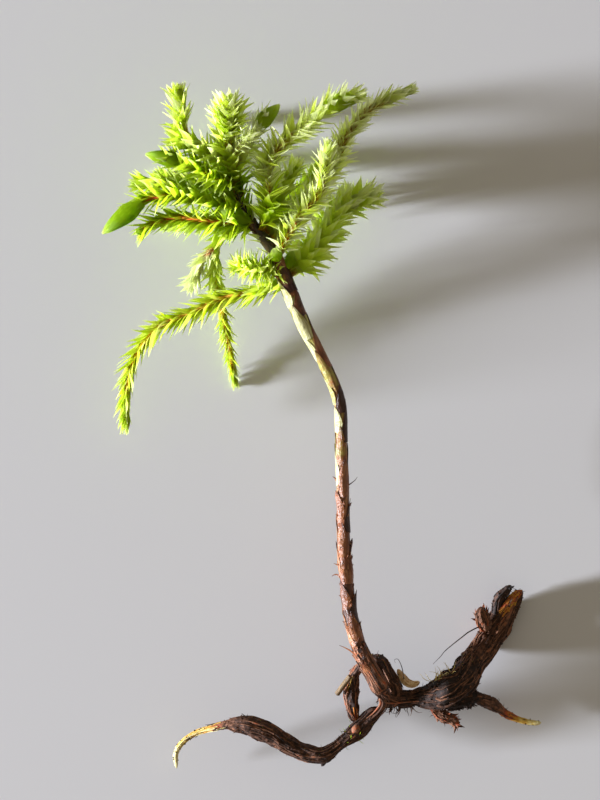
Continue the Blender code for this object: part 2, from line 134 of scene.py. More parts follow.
window = bpy.data.lights.new("window_light", "AREA")
window.shape = "RECTANGLE"
window.size = WINDOW_WIDTH
window.size_y = WINDOW_HEIGHT
window.energy = WINDOW_POWER
window.color = linear(WINDOW_COLOUR)[:3]
window_object = bpy.data.objects.new("window_light", window)
to_window = Vector((-math.cos(WINDOW_TURN), -math.sin(WINDOW_TURN), math.tan(WINDOW_LIFT))).normalized()
window_object.location = VIEW_CENTRE + to_window * WINDOW_DISTANCE
window_object.rotation_euler = (-to_window).to_track_quat("-Z", "Y").to_euler()
bpy.context.scene.collection.objects.link(window_object)

world = bpy.data.worlds.new("soft_surround")
world.use_nodes = True
surround = world.node_tree.nodes["Background"]
surround.inputs["Color"].default_value = linear(FILL_COLOUR)
surround.inputs["Strength"].default_value = FILL_POWER
bpy.context.scene.world = world
bpy.context.scene.view_settings.view_transform = "Standard"
print("window:", round(window_object.location.z, 2), "m above the surface")

# %% [markdown]
# ## The camera
# The camera looks straight down. A long lens from over a metre away keeps near and far parts at one scale:
# a short lens close by would make the raised crown look larger than the rootstock that lies on the surface.

# %% Long lens
VIEW_HEIGHT = 80 * MM
CAMERA_HEIGHT = 1.2
CAMERA_SIGHT = 10             # metres that it sees, as the surface's far edges are in view from the side
SENSOR = 36

lens = bpy.data.cameras.new("long_lens")
lens.lens = SENSOR * CAMERA_HEIGHT / VIEW_HEIGHT
lens.sensor_width = SENSOR
lens.clip_end = CAMERA_SIGHT
camera = bpy.data.objects.new("long_lens", lens)
camera.location = VIEW_CENTRE + Vector((0, 0, CAMERA_HEIGHT))
bpy.context.scene.collection.objects.link(camera)
bpy.context.scene.camera = camera
print("lens:", round(lens.lens), "mm")

# %% [markdown]
# ## The stem's route
# Every shoot and root follows a smooth line through a few listed points, in millimetres. They are the
# model's own routes, so that each piece lies where its solid does. A point holds x, y and z, and here
# also the stem's radius, which is a little more under the crown than the solid's.

# %% Stem route
STEM = [
    (6.0, -26.2, 6.35, 0.85), (4.95, -24.4, 6.7, 0.82), (3.75, -22.2, 7.08, 0.78), (2.95, -19.4, 7.28, 0.74),
    (2.45, -16.2, 7.15, 0.72), (2.15, -12.2, 6.74, 0.7), (2.05, -8.2, 6.36, 0.68), (1.95, -4.2, 6.4, 0.64),
    (1.85, -0.7, 6.7, 0.62), (1.75, 2.0, 7.0, 0.62), (1.15, 4.2, 7.2, 0.62), (-0.15, 7.0, 7.5, 0.62),
    (-1.75, 10.0, 7.9, 0.72), (-2.95, 12.8, 8.3, 0.8), (-3.95, 15.3, 8.8, 0.76), (-5.05, 17.8, 9.4, 0.6),
    (-6.65, 19.8, 10.2, 0.5), (-7.95, 22.0, 11.0, 0.45), (-8.2, 22.9, 11.35, 0.4),
]
print("stem: up to", max(radius for *_, radius in STEM), "mm in radius")

# %% [markdown]
# ## The shoots' routes and habits
# The crown is twenty-one leafy shoots, and each grows in its own way. Beside its route it says how far its
# leaves reach from the axis, how long a leaf is, how long and thick the closed bud at its tip is, and how
# young it is: 0 is old and dark, 1 is young and pale.
#
# Where it needs to, it says more. Foot and taper are how full the leaves stand at the shoot's foot and tip,
# and widest is where they stand fullest. Density is how close they stand and ruffle how unruly they are.
# Parting is the stretch where the leaves part over the axis, and opening how far, as the cosine to the
# camera. Bare is the share of the bud that is free of leaves, sweep a bend that all leaves share, and a
# rosette is a burst of long leaves: its place, count, size, and least and greatest spread. Bud youth and
# axis youth are for those parts alone. A painted shade foot makes the leaves and the axis darker where the
# shoot leaves the stem: painted shade for the deep shade in the crown's middle.

# %% Shoots on the left
SHOOTS = {
    "branch_long_drooping": dict(
        route=[(-3.6, 14.3, 8.4), (-4.6, 14.2, 8.2), (-6.75, 13.6, 8.0), (-9.75, 13.0, 7.6),
               (-12.65, 11.7, 7.0), (-16.15, 10.1, 6.2), (-18.55, 7.3, 5.4), (-19.55, 3.5, 4.6),
               (-19.45, -0.1, 3.9)],
        reach=1.65, bud=1.6, bud_radius=0.3, leaf=2.3, youth=0.55, slot="leaf_mid",
        parting=(0.1, 0.85), opening=0.5, axis_youth=0.6, taper=0.88, sweep=(-0.25, -0.4, 0)),
    "branch_hanging": dict(
        route=[(-6.9, 20.0, 10.0), (-8.3, 19.9, 9.6), (-9.7, 19.2, 9.2), (-10.5, 17.9, 8.5),
               (-10.75, 15.8, 6.6), (-10.45, 13.6, 4.5), (-10.05, 11.8, 3.4), (-9.65, 9.8, 2.5),
               (-9.15, 7.0, 1.3), (-8.65, 4.1, 0.25)],
        reach=1.35, bud=1.6, bud_radius=0.28, leaf=2.0, youth=0.6, slot="leaf_bright",
        parting=(0.35, 0.88), opening=0.5, axis_youth=0.65, taper=0.88, sweep=(-0.1, -0.1, 0)),
    "branch_pale_tuft": dict(
        route=[(-4.3, 15.6, 8.9), (-5.6, 15.75, 9.2), (-6.6, 15.9, 9.3), (-7.8, 16.0, 9.0),
               (-9.0, 15.9, 8.2)],
        reach=1.9, bud=0.8, bud_radius=0.35, leaf=1.7, youth=0.62, slot="leaf_bright", ruffle=1.1,
        density=3.2, foot=1.0),
    "branch_pale_blade": dict(
        route=[(-11.2, 17.5, 9.0), (-12.0, 16.6, 8.2), (-12.75, 14.8, 6.8), (-13.45, 13.7, 5.8)],
        reach=1.1, bud=0.8, bud_radius=0.3, leaf=2.2, youth=1.1, slot="leaf_bright", ruffle=0.3),
    "branch_left_lower": dict(
        route=[(-7.0, 20.5, 10.5), (-9.15, 20.4, 10.9), (-11.95, 20.6, 11.0), (-14.25, 20.9, 10.7),
               (-16.45, 20.5, 10.3), (-18.55, 19.3, 9.6)],
        reach=2.1, bud=1.0, bud_radius=0.35, leaf=2.6, youth=0.3, slot="leaf_mid", foot=0.9,
        parting=(0.05, 0.97), opening=0.45, axis_youth=0.5, sweep=(-0.1, -0.4, 0)),
    "branch_left_bud": dict(
        route=[(-7.85, 22.2, 11.1), (-9.25, 22.2, 11.5), (-11.95, 22.7, 12.0), (-14.55, 23.05, 12.2),
               (-16.15, 22.9, 12.1), (-17.55, 22.6, 11.9), (-19.75, 21.0, 11.4), (-21.85, 19.3, 10.7)],
        reach=2.0, bud=5.2, bud_radius=0.95, leaf=2.4, youth=0.32, bud_youth=0.36, slot="leaf_mid",
        foot=0.9, bare=1.0, parting=(0.4, 0.66)),
    "branch_left_upper": dict(
        route=[(-8.3, 23.3, 11.0), (-9.6, 23.4, 10.2), (-13.25, 24.0, 9.8), (-16.25, 24.2, 9.6),
               (-19.05, 24.2, 9.2)],
        reach=2.0, bud=1.2, bud_radius=0.35, leaf=2.6, youth=0.3, slot="leaf_mid", foot=1.0),
    "branch_pointed_bud": dict(
        route=[(-8.75, 24.5, 12.3), (-9.9, 24.7, 13.0), (-11.05, 25.1, 13.6), (-12.85, 25.9, 13.9),
               (-15.05, 26.6, 13.9), (-17.55, 27.1, 13.4)],
        reach=2.0, bud=3.8, bud_radius=0.8, leaf=2.4, youth=0.32, bud_youth=0.3, slot="leaf_dark",
        foot=1.0, bare=0.85),
}
print("shoots on the left:", len(SHOOTS))

# %% [markdown]
# ## Top and right
# The shoots at the top and on the right are mostly younger and fuller, and three of them carry a burst of
# long leaves. The leader carries on from the stem's end.

# %% Shoots at the top and on the right
SHOOTS.update({
    "branch_top_left": dict(
        route=[(-9.1, 26.2, 13.0), (-10.3, 26.7, 13.3), (-11.8, 27.5, 13.3), (-13.3, 28.3, 13.2),
               (-13.9, 30.0, 13.3), (-14.25, 32.0, 13.3), (-14.25, 34.0, 13.2)],
        reach=2.15, bud=1.8, bud_radius=0.65, leaf=2.8, youth=0.66, slot="leaf_bright", brown_tip=True,
        foot=0.8),
    "leader_shoot": dict(
        route=[(-8.27, 23.1, 11.45), (-8.65, 24.5, 12.0), (-9.15, 26.8, 13.2), (-9.35, 28.9, 14.3),
               (-9.25, 31.0, 15.1), (-9.05, 33.1, 15.5)],
        reach=2.45, bud=2.4, bud_radius=0.5, leaf=2.9, youth=0.7, widest=0.6, slot="leaf_bright",
        foot=1.0, parting=(0.35, 0.55), rosette=(0.62, 90, 3.7, 0.3, 1.15), painted_shade_foot=True),
    "branch_small_bright": dict(
        route=[(-8.7, 27.4, 13.9), (-7.9, 28.2, 14.6), (-7.1, 28.9, 15.0), (-6.4, 29.6, 15.1)],
        reach=1.4, bud=1.0, bud_radius=0.4, leaf=2.0, youth=1.15, slot="leaf_bright"),
    "branch_dark_bud": dict(
        route=[(-8.8, 26.0, 12.4), (-7.45, 28.0, 12.9), (-6.05, 30.2, 13.7), (-4.25, 32.0, 14.4)],
        reach=1.7, bud=3.4, bud_radius=0.8, leaf=2.4, youth=0.95, bud_youth=0.55, slot="leaf_dark",
        foot=1.0, bare=0.9),
    "branch_top_middle": dict(
        route=[(-6.0, 20.0, 10.7), (-5.45, 21.5, 11.3), (-5.35, 23.5, 12.1), (-5.35, 25.8, 13.0),
               (-4.2, 27.8, 13.9), (-2.65, 29.1, 14.6), (0.75, 31.8, 15.4), (4.35, 33.0, 15.6)],
        reach=2.2, bud=5.0, bud_radius=0.9, leaf=2.8, youth=0.86, bud_youth=0.62, slot="leaf_mid",
        foot=1.0, bare=0.4, parting=(0.1, 0.55), rosette=(0.28, 50, 2.8, 0.7, 1.35), painted_shade_foot=True),
    "branch_right_front": dict(
        route=[(-4.2, 17.4, 9.5), (-3.9, 18.1, 10.1), (-2.45, 20.7, 11.6), (-0.35, 23.3, 13.1),
               (0.25, 26.3, 14.4), (0.75, 28.5, 15.0)],
        reach=1.8, bud=1.2, bud_radius=0.4, leaf=2.4, youth=0.85, slot="leaf_bright", foot=0.8,
        parting=(0.0, 0.72)),
    "branch_right_long": dict(
        route=[(-4.9, 18.9, 9.0), (-3.25, 20.4, 9.0), (-1.25, 22.8, 9.6), (1.0, 26.0, 10.8),
               (1.75, 27.8, 11.7), (2.6, 29.2, 12.5), (4.65, 31.5, 13.7), (9.25, 33.7, 14.6)],
        reach=1.9, bud=2.0, bud_radius=0.35, leaf=2.5, youth=0.92, slot="leaf_mid", foot=0.9,
        parting=(0.45, 0.8), taper=0.8),
    "branch_right_broad": dict(
        route=[(-3.3, 15.4, 8.4), (-2.6, 16.1, 7.9), (-0.6, 18.3, 6.2), (1.75, 21.6, 3.5),
               (5.55, 23.5, 1.25)],
        reach=2.6, bud=1.0, bud_radius=0.4, leaf=3.0, youth=0.7, slot="leaf_dark", foot=1.0,
        density=1.5),
    "branch_inner": dict(
        route=[(-5.6, 19.6, 9.2), (-5.0, 21.3, 8.9), (-4.25, 23.0, 9.0), (-3.25, 25.0, 9.2),
               (-2.25, 26.6, 9.4)],
        reach=2.1, bud=1.4, bud_radius=0.45, leaf=2.7, youth=0.65, slot="leaf_dark", foot=1.0,
        rosette=(0.15, 60, 3.3, 0.7, 1.5)),
})
print("shoots with those at the top and on the right:", len(SHOOTS))

# %% [markdown]
# ## The hidden side
# Four shoots on the side that the camera doesn't see reach down to the surface and hold the crown up.
# They differ only in their routes, so one loop gives all of them the same habit.

# %% Shoots on the hidden side
UNDER_ROUTES = {
    "branch_under_right": [(-5.6, 19.0, 9.0), (-4.2, 21.0, 6.6), (-2.2, 23.4, 4.0), (-0.6, 25.4, 1.8),
                           (0.8, 27.0, 0.3)],
    "branch_under_left": [(-7.6, 20.9, 10.0), (-9.6, 20.8, 8.4), (-11.8, 20.6, 5.9), (-14.0, 20.5, 3.0),
                          (-16.0, 20.3, 0.3)],
    "branch_under_top": [(-8.6, 24.6, 11.4), (-9.0, 26.0, 8.8), (-9.4, 28.2, 5.0), (-9.7, 30.6, 0.3)],
    "branch_under_back": [(-7.9, 22.0, 10.4), (-9.4, 22.6, 8.4), (-12.0, 23.6, 6.0), (-14.6, 24.6, 3.2),
                          (-16.8, 25.4, 0.3)],
}
for name, route in UNDER_ROUTES.items():
    SHOOTS[name] = dict(
        route=route, reach=1.5, bud=1.6, bud_radius=0.4, leaf=2.2, youth=0.5, slot="leaf_dark")
print("shoots:", len(SHOOTS))

# %% [markdown]
# ## Smooth lines
# A course is a smooth curve through the points of a route. A curve object would draw the same line, but
# here leaves and fibres must be placed along it and round it, so the course also tells, at any distance
# from its start, where it is, which way it runs and which way is up.

# %% Courses
def soft_step(value):
    """0 below 0, 1 above 1 and a smooth rise between."""
    value = min(max(value, 0.0), 1.0)
    return value * value * (3 - 2 * value)


class Course:
    """A smooth line through points. Each row holds x, y, z and may hold a radius."""

    def __init__(self, points, step=0.05):
        points = [np.array(p, float) for p in points]
        ends = [2 * points[0] - points[1]] + points + [2 * points[-1] - points[-2]]
        rows = []
        for a, b, c, d in zip(ends, ends[1:], ends[2:], ends[3:]):
            for t in np.arange(24) / 24:
                rows.append(0.5 * (2 * b + (c - a) * t + (2 * a - 5 * b + 4 * c - d) * t**2
                                   + (3 * b - a - 3 * c + d) * t**3))
        rows = np.array(rows + [points[-1]])
        lengths = np.concatenate([[0], np.cumsum(np.linalg.norm(np.diff(rows[:, :3], axis=0), axis=1))])
        self.length = lengths[-1]
        self.stations = np.linspace(0, self.length, max(8, int(self.length / step)))
        self.rows = np.stack([np.interp(self.stations, lengths, column) for column in rows.T], 1)
        along = np.gradient(self.rows[:, :3], axis=0)
        self.along = along / np.linalg.norm(along, axis=1)[:, None]
        up = np.array([0.0, 0.0, 1.0]) if abs(self.along[0][2]) < 0.9 else np.array([0.0, 1.0, 0.0])
        self.ups = []
        for direction in self.along:
            up = up - direction * (up @ direction)
            up = up / np.linalg.norm(up)
            self.ups.append(up)

    def at(self, station):
        """Point, radius, and the along, side and up directions, at a distance from the start."""
        last = len(self.stations) - 1
        index = int(np.clip(round(station / self.length * last), 0, last))
        along = Vector(self.along[index])
        up = Vector(self.ups[index])
        point = Vector(self.rows[index, :3]) + along * (station - self.stations[index])
        radius = self.rows[index, 3] if self.rows.shape[1] > 3 else 0.0
        return point, radius, along, along.cross(up), up

    def around(self, station, radius, angle):
        """A point beside the line, at an angle round it, and the direction out to it."""
        point, _, _, side, up = self.at(station)
        out = side * math.cos(angle) + up * math.sin(angle)
        return point + out * radius, out


courses = {name: Course(spec["route"]) for name, spec in SHOOTS.items()}
print("shoot axes:", round(sum(course.length for course in courses.values())), "mm in all")

# %% [markdown]
# ## Leaf material
# A moss leaf is one cell thick and full of water: light passes through it, so it glows yellow-green on the
# far side and shines where it is wet. It could be one flat green, but real leaves run from an orange foot
# over green to a pale tip, and young ones are lighter. The share along the leaf and its youth are stored in
# the mesh, and fine pleats that run along the leaf tilt the shine.

# %% Moist leaf
def leaf_material(name):
    """Thin wet moss leaf: translucent, with an orange foot, a pale tip, and pleats along it."""
    material, tree, output = new_material(name)
    youth = add_node(tree, "Attribute", {"attribute_name": "youth"})
    share = add_node(tree, "Attribute", {"attribute_name": "share"})
    place = add_node(tree, "TexCoord")
    # patches 0.7 mm wide
    mottle = add_node(tree, "TexNoise", {"Scale": 1.4 / MM, "Detail": 3.0}, {
        "Vector": place.outputs["Object"]})
    mixed = add_node(tree, "Math", {"operation": "MULTIPLY_ADD", 1: 0.3}, {
        0: mottle.outputs["Fac"], 2: youth.outputs["Fac"]})
    toned = add_node(tree, "Math", {"operation": "SUBTRACT", 1: 0.15}, {0: mixed.outputs[0]})
    flesh = add_node(tree, "ValToRGB", links={"Fac": toned.outputs[0]}, ramp=[
        (0.0, "#66800F"), (0.2, "#B8D424"), (0.45, "#D8EE32"), (0.75, "#EAF862"), (1.0, "#F8FEC8")])
    tip_share = add_node(tree, "ValToRGB", links={"Fac": share.outputs["Fac"]}, ramp=[
        (0.7, 0.0), (1.0, 0.6)])
    pale = add_node(tree, "Mix", {"data_type": "RGBA", 7: linear("#F4FCC4")}, {
        0: tip_share.outputs["Color"], 6: flesh.outputs["Color"]})
    foot_share = add_node(tree, "ValToRGB", links={"Fac": share.outputs["Fac"]}, ramp=[
        (0.03, 0.85), (0.2, 0.0)])
    colour = add_node(tree, "Mix", {"data_type": "RGBA", 7: linear("#B06A16")}, {
        0: foot_share.outputs["Color"], 6: pale.outputs[2]})
    across = add_node(tree, "UVMap", {"uv_map": "UVMap"})
    # seven pleats over a leaf's width, coarser than real ones so that they show
    pleats = add_node(tree, "TexWave", {"Scale": 2.2, "Distortion": 0.6, "Detail": 1.0}, {
        "Vector": across.outputs["UV"]})
    bump = add_node(tree, "Bump", {"Strength": 0.5, "Distance": 0.05 * MM}, {
        "Height": pleats.outputs["Fac"]})
    skin = add_node(tree, "BsdfPrincipled", {"Roughness": 0.33, "IOR": 1.42}, {
        "Base Color": colour.outputs[2], "Normal": bump.outputs["Normal"]})
    # light that passes a leaf passes two walls of its mesh, so each wall gets the square root of its colour
    wall = add_node(tree, "Gamma", {"Gamma": 0.5}, {"Color": colour.outputs[2]})
    glow = add_node(tree, "BsdfTranslucent", links={"Color": wall.outputs[0]})
    blend = add_node(tree, "MixShader", {0: 0.9}, {1: skin.outputs[0], 2: glow.outputs[0]})
    tree.links.new(blend.outputs[0], output.inputs[0])
    return material


LEAF_MATERIALS = {slot: leaf_material("moist moss leaf, " + word) for slot, word in (
    ("leaf_bright", "young"), ("leaf_mid", "grown"), ("leaf_dark", "shaded"))}
print("leaf materials:", list(LEAF_MATERIALS))

# %% [markdown]
# ## Axis and root materials
# A shoot's axis is wiry and orange-brown. The rootstock is bark with a felt of rootlets, and soil clings to
# it. Both are woody strands whose colour changes with age, in patches and in streaks along them, so one
# function makes them from a ramp of colours. The same value that colours a streak raises it, so light
# catches it.

# %% Wiry axis, bark and soil
def strand_material(name, ramp, roughness, grain):
    """A wiry or woody strand: its colours by age, in patches of a given size and in streaks along it."""
    material, tree, output = new_material(name)
    youth = add_node(tree, "Attribute", {"attribute_name": "youth"})
    place = add_node(tree, "TexCoord")
    patch = add_node(tree, "TexNoise", {"Scale": 1 / (grain * MM), "Detail": 5.0, "Roughness": 0.62}, {
        "Vector": place.outputs["Object"]})
    along = add_node(tree, "UVMap", {"uv_map": "UVMap"})
    stretched = add_node(tree, "Mapping", {"Scale": (6.0, 0.8, 1.0)}, {"Vector": along.outputs["UV"]})
    streak = add_node(tree, "TexNoise", {"Scale": 1.0, "Detail": 4.0, "Roughness": 0.65}, {
        "Vector": stretched.outputs["Vector"]})
    both = add_node(tree, "Math", {"operation": "ADD"}, {0: patch.outputs["Fac"], 1: streak.outputs["Fac"]})
    mixed = add_node(tree, "Math", {"operation": "MULTIPLY_ADD", 1: 0.55}, {
        0: both.outputs[0], 2: youth.outputs["Fac"]})
    toned = add_node(tree, "Math", {"operation": "SUBTRACT", 1: 0.55}, {0: mixed.outputs[0]})
    colour = add_node(tree, "ValToRGB", links={"Fac": toned.outputs[0]}, ramp=ramp)
    bump = add_node(tree, "Bump", {"Strength": 0.8, "Distance": 0.1 * MM}, {"Height": both.outputs[0]})
    skin = add_node(tree, "BsdfPrincipled", {"Roughness": roughness, "IOR": 1.45}, {
        "Base Color": colour.outputs["Color"], "Normal": bump.outputs["Normal"]})
    tree.links.new(skin.outputs[0], output.inputs[0])
    return material


AXIS_MATERIAL = strand_material("orange-brown shoot axis", [
    (0.0, "#1A1606"), (0.2, "#6A2A08"), (0.4, "#EC701C"), (0.65, "#FFBE48")], 0.5, 0.8)
ROOT_MATERIAL = strand_material("wet bark and soil", [
    (0.0, "#120B07"), (0.16, "#2E1A10"), (0.3, "#5A3824"), (0.42, "#8E6248"), (0.5, "#9A5834"),
    (0.56, "#B04626"), (0.64, "#C0762E"), (0.72, "#C8902C"), (0.84, "#D4B450"), (1.0, "#ECE0A4")], 0.75, 0.4)
print("strand materials:", AXIS_MATERIAL.name, "and", ROOT_MATERIAL.name)

# %% [markdown]
# ## Sheets and tubes
# Every part is bent from a grid of faces. Bent like a blade it is a leaf, pressed round a bud it is a
# scale, and rolled round a line it is a tube. The mesh keeps two values for the materials: how young a part
# is, and the share along it.

# %% Sheets and tubes
def new_shape():
    """A mesh in the making, with its texture map and the values that the materials read."""
    shape = bmesh.new()
    shape.loops.layers.uv.new("UVMap")
    shape.verts.layers.float.new("youth")
    shape.verts.layers.float.new("share")
    return shape


def sheet(shape, columns, rows, youth, foot=0.0):
    """A grid: its points, each with its place across (-1 to 1) and its share along (0 to 1).

    Foot is the share along a leaf that its lower edge stands for in the material.
    """
    made = bmesh.ops.create_grid(
        shape, x_segments=columns, y_segments=rows, size=1.0, calc_uvs=True)["verts"]
    youth_layer = shape.verts.layers.float["youth"]
    share_layer = shape.verts.layers.float["share"]
    points = []
    for vert in made:
        share = (vert.co.y + 1) / 2
        vert[youth_layer] = youth(share) if callable(youth) else youth
        vert[share_layer] = foot + (1 - foot) * share
        points.append((vert, vert.co.x, share))
    return points


def spread_map(shape, points, width, length):
    """Scales a sheet's texture map to its real width and length in millimetres."""
    layer = shape.loops.layers.uv["UVMap"]
    for vert, _, _ in points:
        for loop in vert.link_loops:
            loop[layer].uv = (loop[layer].uv.x * width, loop[layer].uv.y * length)


def roll_tube(shape, course, start, end, radius_at, sides, step, youth=0.3, foot=0.0, material_index=0):
    """A grid rolled round the line into a closed tube with capped ends."""
    rows = max(2, round((end - start) / step))
    points = sheet(shape, sides, rows, youth, foot)
    for vert, across, share in points:
        station = start + (end - start) * share
        turn = math.pi * (across + 1)
        vert.co = course.around(station, radius_at(station, turn), -turn)[0]
    girth = math.tau * radius_at((start + end) / 2, 0.0)
    spread_map(shape, points, girth, end - start)
    for face in {face for vert, _, _ in points for face in vert.link_faces}:
        face.material_index = material_index


sample = new_shape()
print("a sheet of 2 by 6 faces has", len(sheet(sample, 2, 6, 0.0)), "points")
sample.free()

# %% [markdown]
# ## Closed and thick
# A sheet alone has no body, and a leaf does, thin as it is. All the leaves of a piece share one mesh, so
# one extrusion gives them all their thickness. Tubes are rolled from a flat grid: their seam is welded and
# their ends are capped at the end, for all tubes of a piece at once.

# %% Seams, caps and thickness
def close_tubes(shape):
    """Welds the seam of each rolled tube and caps its ends."""
    rims = {vert for edge in shape.edges if edge.is_boundary for vert in edge.verts}
    bmesh.ops.remove_doubles(shape, verts=list(rims), dist=0.0005)
    rims = [edge for edge in shape.edges if edge.is_boundary]
    for cap in bmesh.ops.holes_fill(shape, edges=rims)["faces"]:
        neighbours = [face for edge in cap.edges for face in edge.link_faces if face != cap]
        cap.material_index = neighbours[0].material_index


def thicken(shape, thickness):
    """Gives every sheet its thickness: a copy of it stays, and the sheet itself sinks to the far side."""
    shape.normal_update()
    pushes = [(vert, vert.normal * thickness) for vert in shape.verts]
    bmesh.ops.extrude_face_region(shape, geom=shape.faces[:], use_keep_orig=True)
    for vert, push in pushes:
        vert.co -= push


# %% [markdown]
# ## Fibres
# Wood fibres and hairs are thin tapering tubes. A rootstock has hundreds, and an operator that grows one
# part looks through the whole mesh it works in, so groups of small parts grow in a mesh of their own and
# then join.

# %% Fibres and groups of small parts
def fibre(shape, points, radius, youth=0.3, sides=5, step=0.35, material_index=0):
    """A thin strand through points, tapering to its end."""
    course = Course([tuple(point) for point in points], 0.1)
    roll_tube(shape, course, 0.0, course.length,
              lambda place, _: radius * (1 - 0.75 * (place / course.length)**2), sides, step, youth,
              material_index=material_index)


def apart(grow):
    """Lets a function grow its parts in a mesh of their own, which then joins the piece's mesh."""
    def grown(shape, *settings, **more):
        part = new_shape()
        result = grow(part, *settings, **more)
        mesh = bpy.data.meshes.new("part")
        part.to_mesh(mesh)
        part.free()
        shape.from_mesh(mesh)
        bpy.data.meshes.remove(mesh)
        return result
    return grown


# %% [markdown]
# ## Finished pieces
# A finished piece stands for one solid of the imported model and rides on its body. Its mesh is turned from
# millimetres to metres, and nothing of it sinks into the surface that it lies on.

# %% Finishing a piece
SHARP_EDGE = math.radians(50)


def finish_piece(name, shape, materials, node):
    """Turns a mesh in the making into a piece at the origin that stands for a node of the frame."""
    close_tubes(shape)
    for vert in shape.verts:
        vert.co.z = max(vert.co.z, 0.0)
    bmesh.ops.scale(shape, vec=(MM, MM, MM), verts=shape.verts)
    mesh = bpy.data.meshes.new(name)
    shape.to_mesh(mesh)
    shape.free()
    for material in materials:
        mesh.materials.append(material)
    mesh.shade_smooth()
    mesh.set_sharp_from_angle(angle=SHARP_EDGE)
    piece = bpy.data.objects.new(name, mesh)
    bpy.context.scene.collection.objects.link(piece)
    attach(piece, "root")
    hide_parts(node)
    mesh.calc_loop_triangles()
    print(name, len(mesh.loop_triangles), "triangles")


# %% [markdown]
# ## One leaf
# A leaf is a grid of two by six faces, drawn to a tongue with a clasping foot and a fine point. It folds
# along its middle, and it bends along its length: first along the axis, then outwards, then in or out again
# at the tip. A few dozen faces a leaf are enough, because the crown has thousands.

# %% The leaf
LEAF_COLUMNS = 2
LEAF_ROWS = 6
LEAF_THICKNESS = 0.028
LEAF_SLIMNESS = 0.17         # half width as a share of the length
AXIS_RADIUS = 0.23
FLOOR_GAP = 0.04


def tongue(share):
    """How wide a leaf is at a share of its length, as a share of its widest."""
    fall = max(0.0, (share - 0.28) / 0.72)
    return max(0.03, (0.7 + 0.3 * soft_step(share / 0.28)) * (1 - fall**1.25))


def add_leaf(shape, course, station, angle, form):
    """One spreading leaf at a distance along the axis and an angle round it."""
    foot, out = course.around(station, form.get("rise", AXIS_RADIUS * 0.7), angle)
    along = course.at(station)[2]
    across = along.cross(out)
    spine = [foot]
    normals = []
    for k in range(LEAF_ROWS + 1):
        share = k / LEAF_ROWS
        lean = form["spread"] * soft_step(0.25 + share * 1.6) + form["curl"] * share**2
        heading = along * math.cos(lean) + out * math.sin(lean)
        normals.append(along * math.sin(lean) - out * math.cos(lean))
        if k < LEAF_ROWS:
            spine.append(spine[-1] + heading * form["length"] / LEAF_ROWS)
    bend = form.get("sweep", Vector()) + across * form.get("sway", 0.0)
    for vert, place, share in sheet(shape, LEAF_COLUMNS, LEAF_ROWS, form["youth"], form.get("foot", 0.0)):
        row = round(share * LEAF_ROWS)
        half = form["width"] * tongue(share)
        twist = form["twist"] * share
        sideways = across * math.cos(twist) + normals[row] * math.sin(twist)
        inward = normals[row] * math.cos(twist) - across * math.sin(twist)
        fold = form["trough"] * place**2
        vert.co = spine[row] + sideways * place * half + inward * fold * half + bend * share**2
        vert.co.z = max(vert.co.z, FLOOR_GAP)


print("a leaf has", LEAF_COLUMNS * LEAF_ROWS * 2 + 2 * (LEAF_COLUMNS + LEAF_ROWS), "faces")

# %% [markdown]
# ## A leaf that clasps
# The closed leaves of a bud and the scales of the stem lie pressed round what carries them, like a sheet
# of paper round a pencil, with only the tip lifted. A point across such a leaf is an angle round the
# axis, so the leaf follows any bud or stem.

# %% The clasping leaf
WRAPPED_COLUMNS = 6


def add_wrapped_leaf(shape, course, station, angle, form, radius_at, columns=WRAPPED_COLUMNS):
    """One leaf pressed round what carries it, its tip lifted a little."""
    points = sheet(shape, columns, LEAF_ROWS, form["youth"], form.get("foot", 0.3))
    for vert, place, share in points:
        along = station + form["length"] * share
        turn = angle + place * form["wrap"] * tongue(share)
        radius = radius_at(along, -turn) + form["rest"] + form["lift"] * share**3
        vert.co = course.around(along, radius, turn)[0]
    spread_map(shape, points, 2 * form["wrap"] * radius_at(station + form["length"] / 2), form["length"])


print("a clasping leaf is", WRAPPED_COLUMNS, "by", LEAF_ROWS, "faces")

# %% [markdown]
# ## How leaves stand
# On a tree moss shoot the leaves stand in a close spiral, each turned by the golden angle from the one
# before. They stand widest some way along the shoot and close in towards the bud at its tip. Where a shoot
# was pressed open, its leaves part and the orange axis shows. Everything random comes from a generator
# seeded with the shoot's name, so the plant is the same each time.

# %% Spiral of leaves
GOLDEN_ANGLE = math.radians(137.5)
LEAF_GAP = 0.095             # from one leaf to the next along the axis
LEAF_STRETCH = 1.2           # a leaf's length along its bend, over the length that it reaches
TIP_ROOM = 0.15              # how far leaves may pass the tip of the axis
FIRST_LEAF = -0.5            # the first leaves spring from inside what carries the shoot
WIDEST = 0.3                 # where leaves stand fullest, unless a shoot says otherwise
PARTING = 0.7                # how far round the parted leaves are missing, as the cosine to the camera
FOOT_SPREAD = 0.35           # how much more the lowest leaves of a shoot stand out


def fullness(spec, share):
    """How wide the leaves stand at a share of the shoot's length."""
    widest = spec.get("widest", WIDEST)
    past = max(0.0, (share - widest) / (1 - widest))
    foot = spec.get("foot", 0.6)
    return (foot + (1 - foot) * soft_step(share / widest)) * (1 - spec.get("taper", 0.5) * past * past)


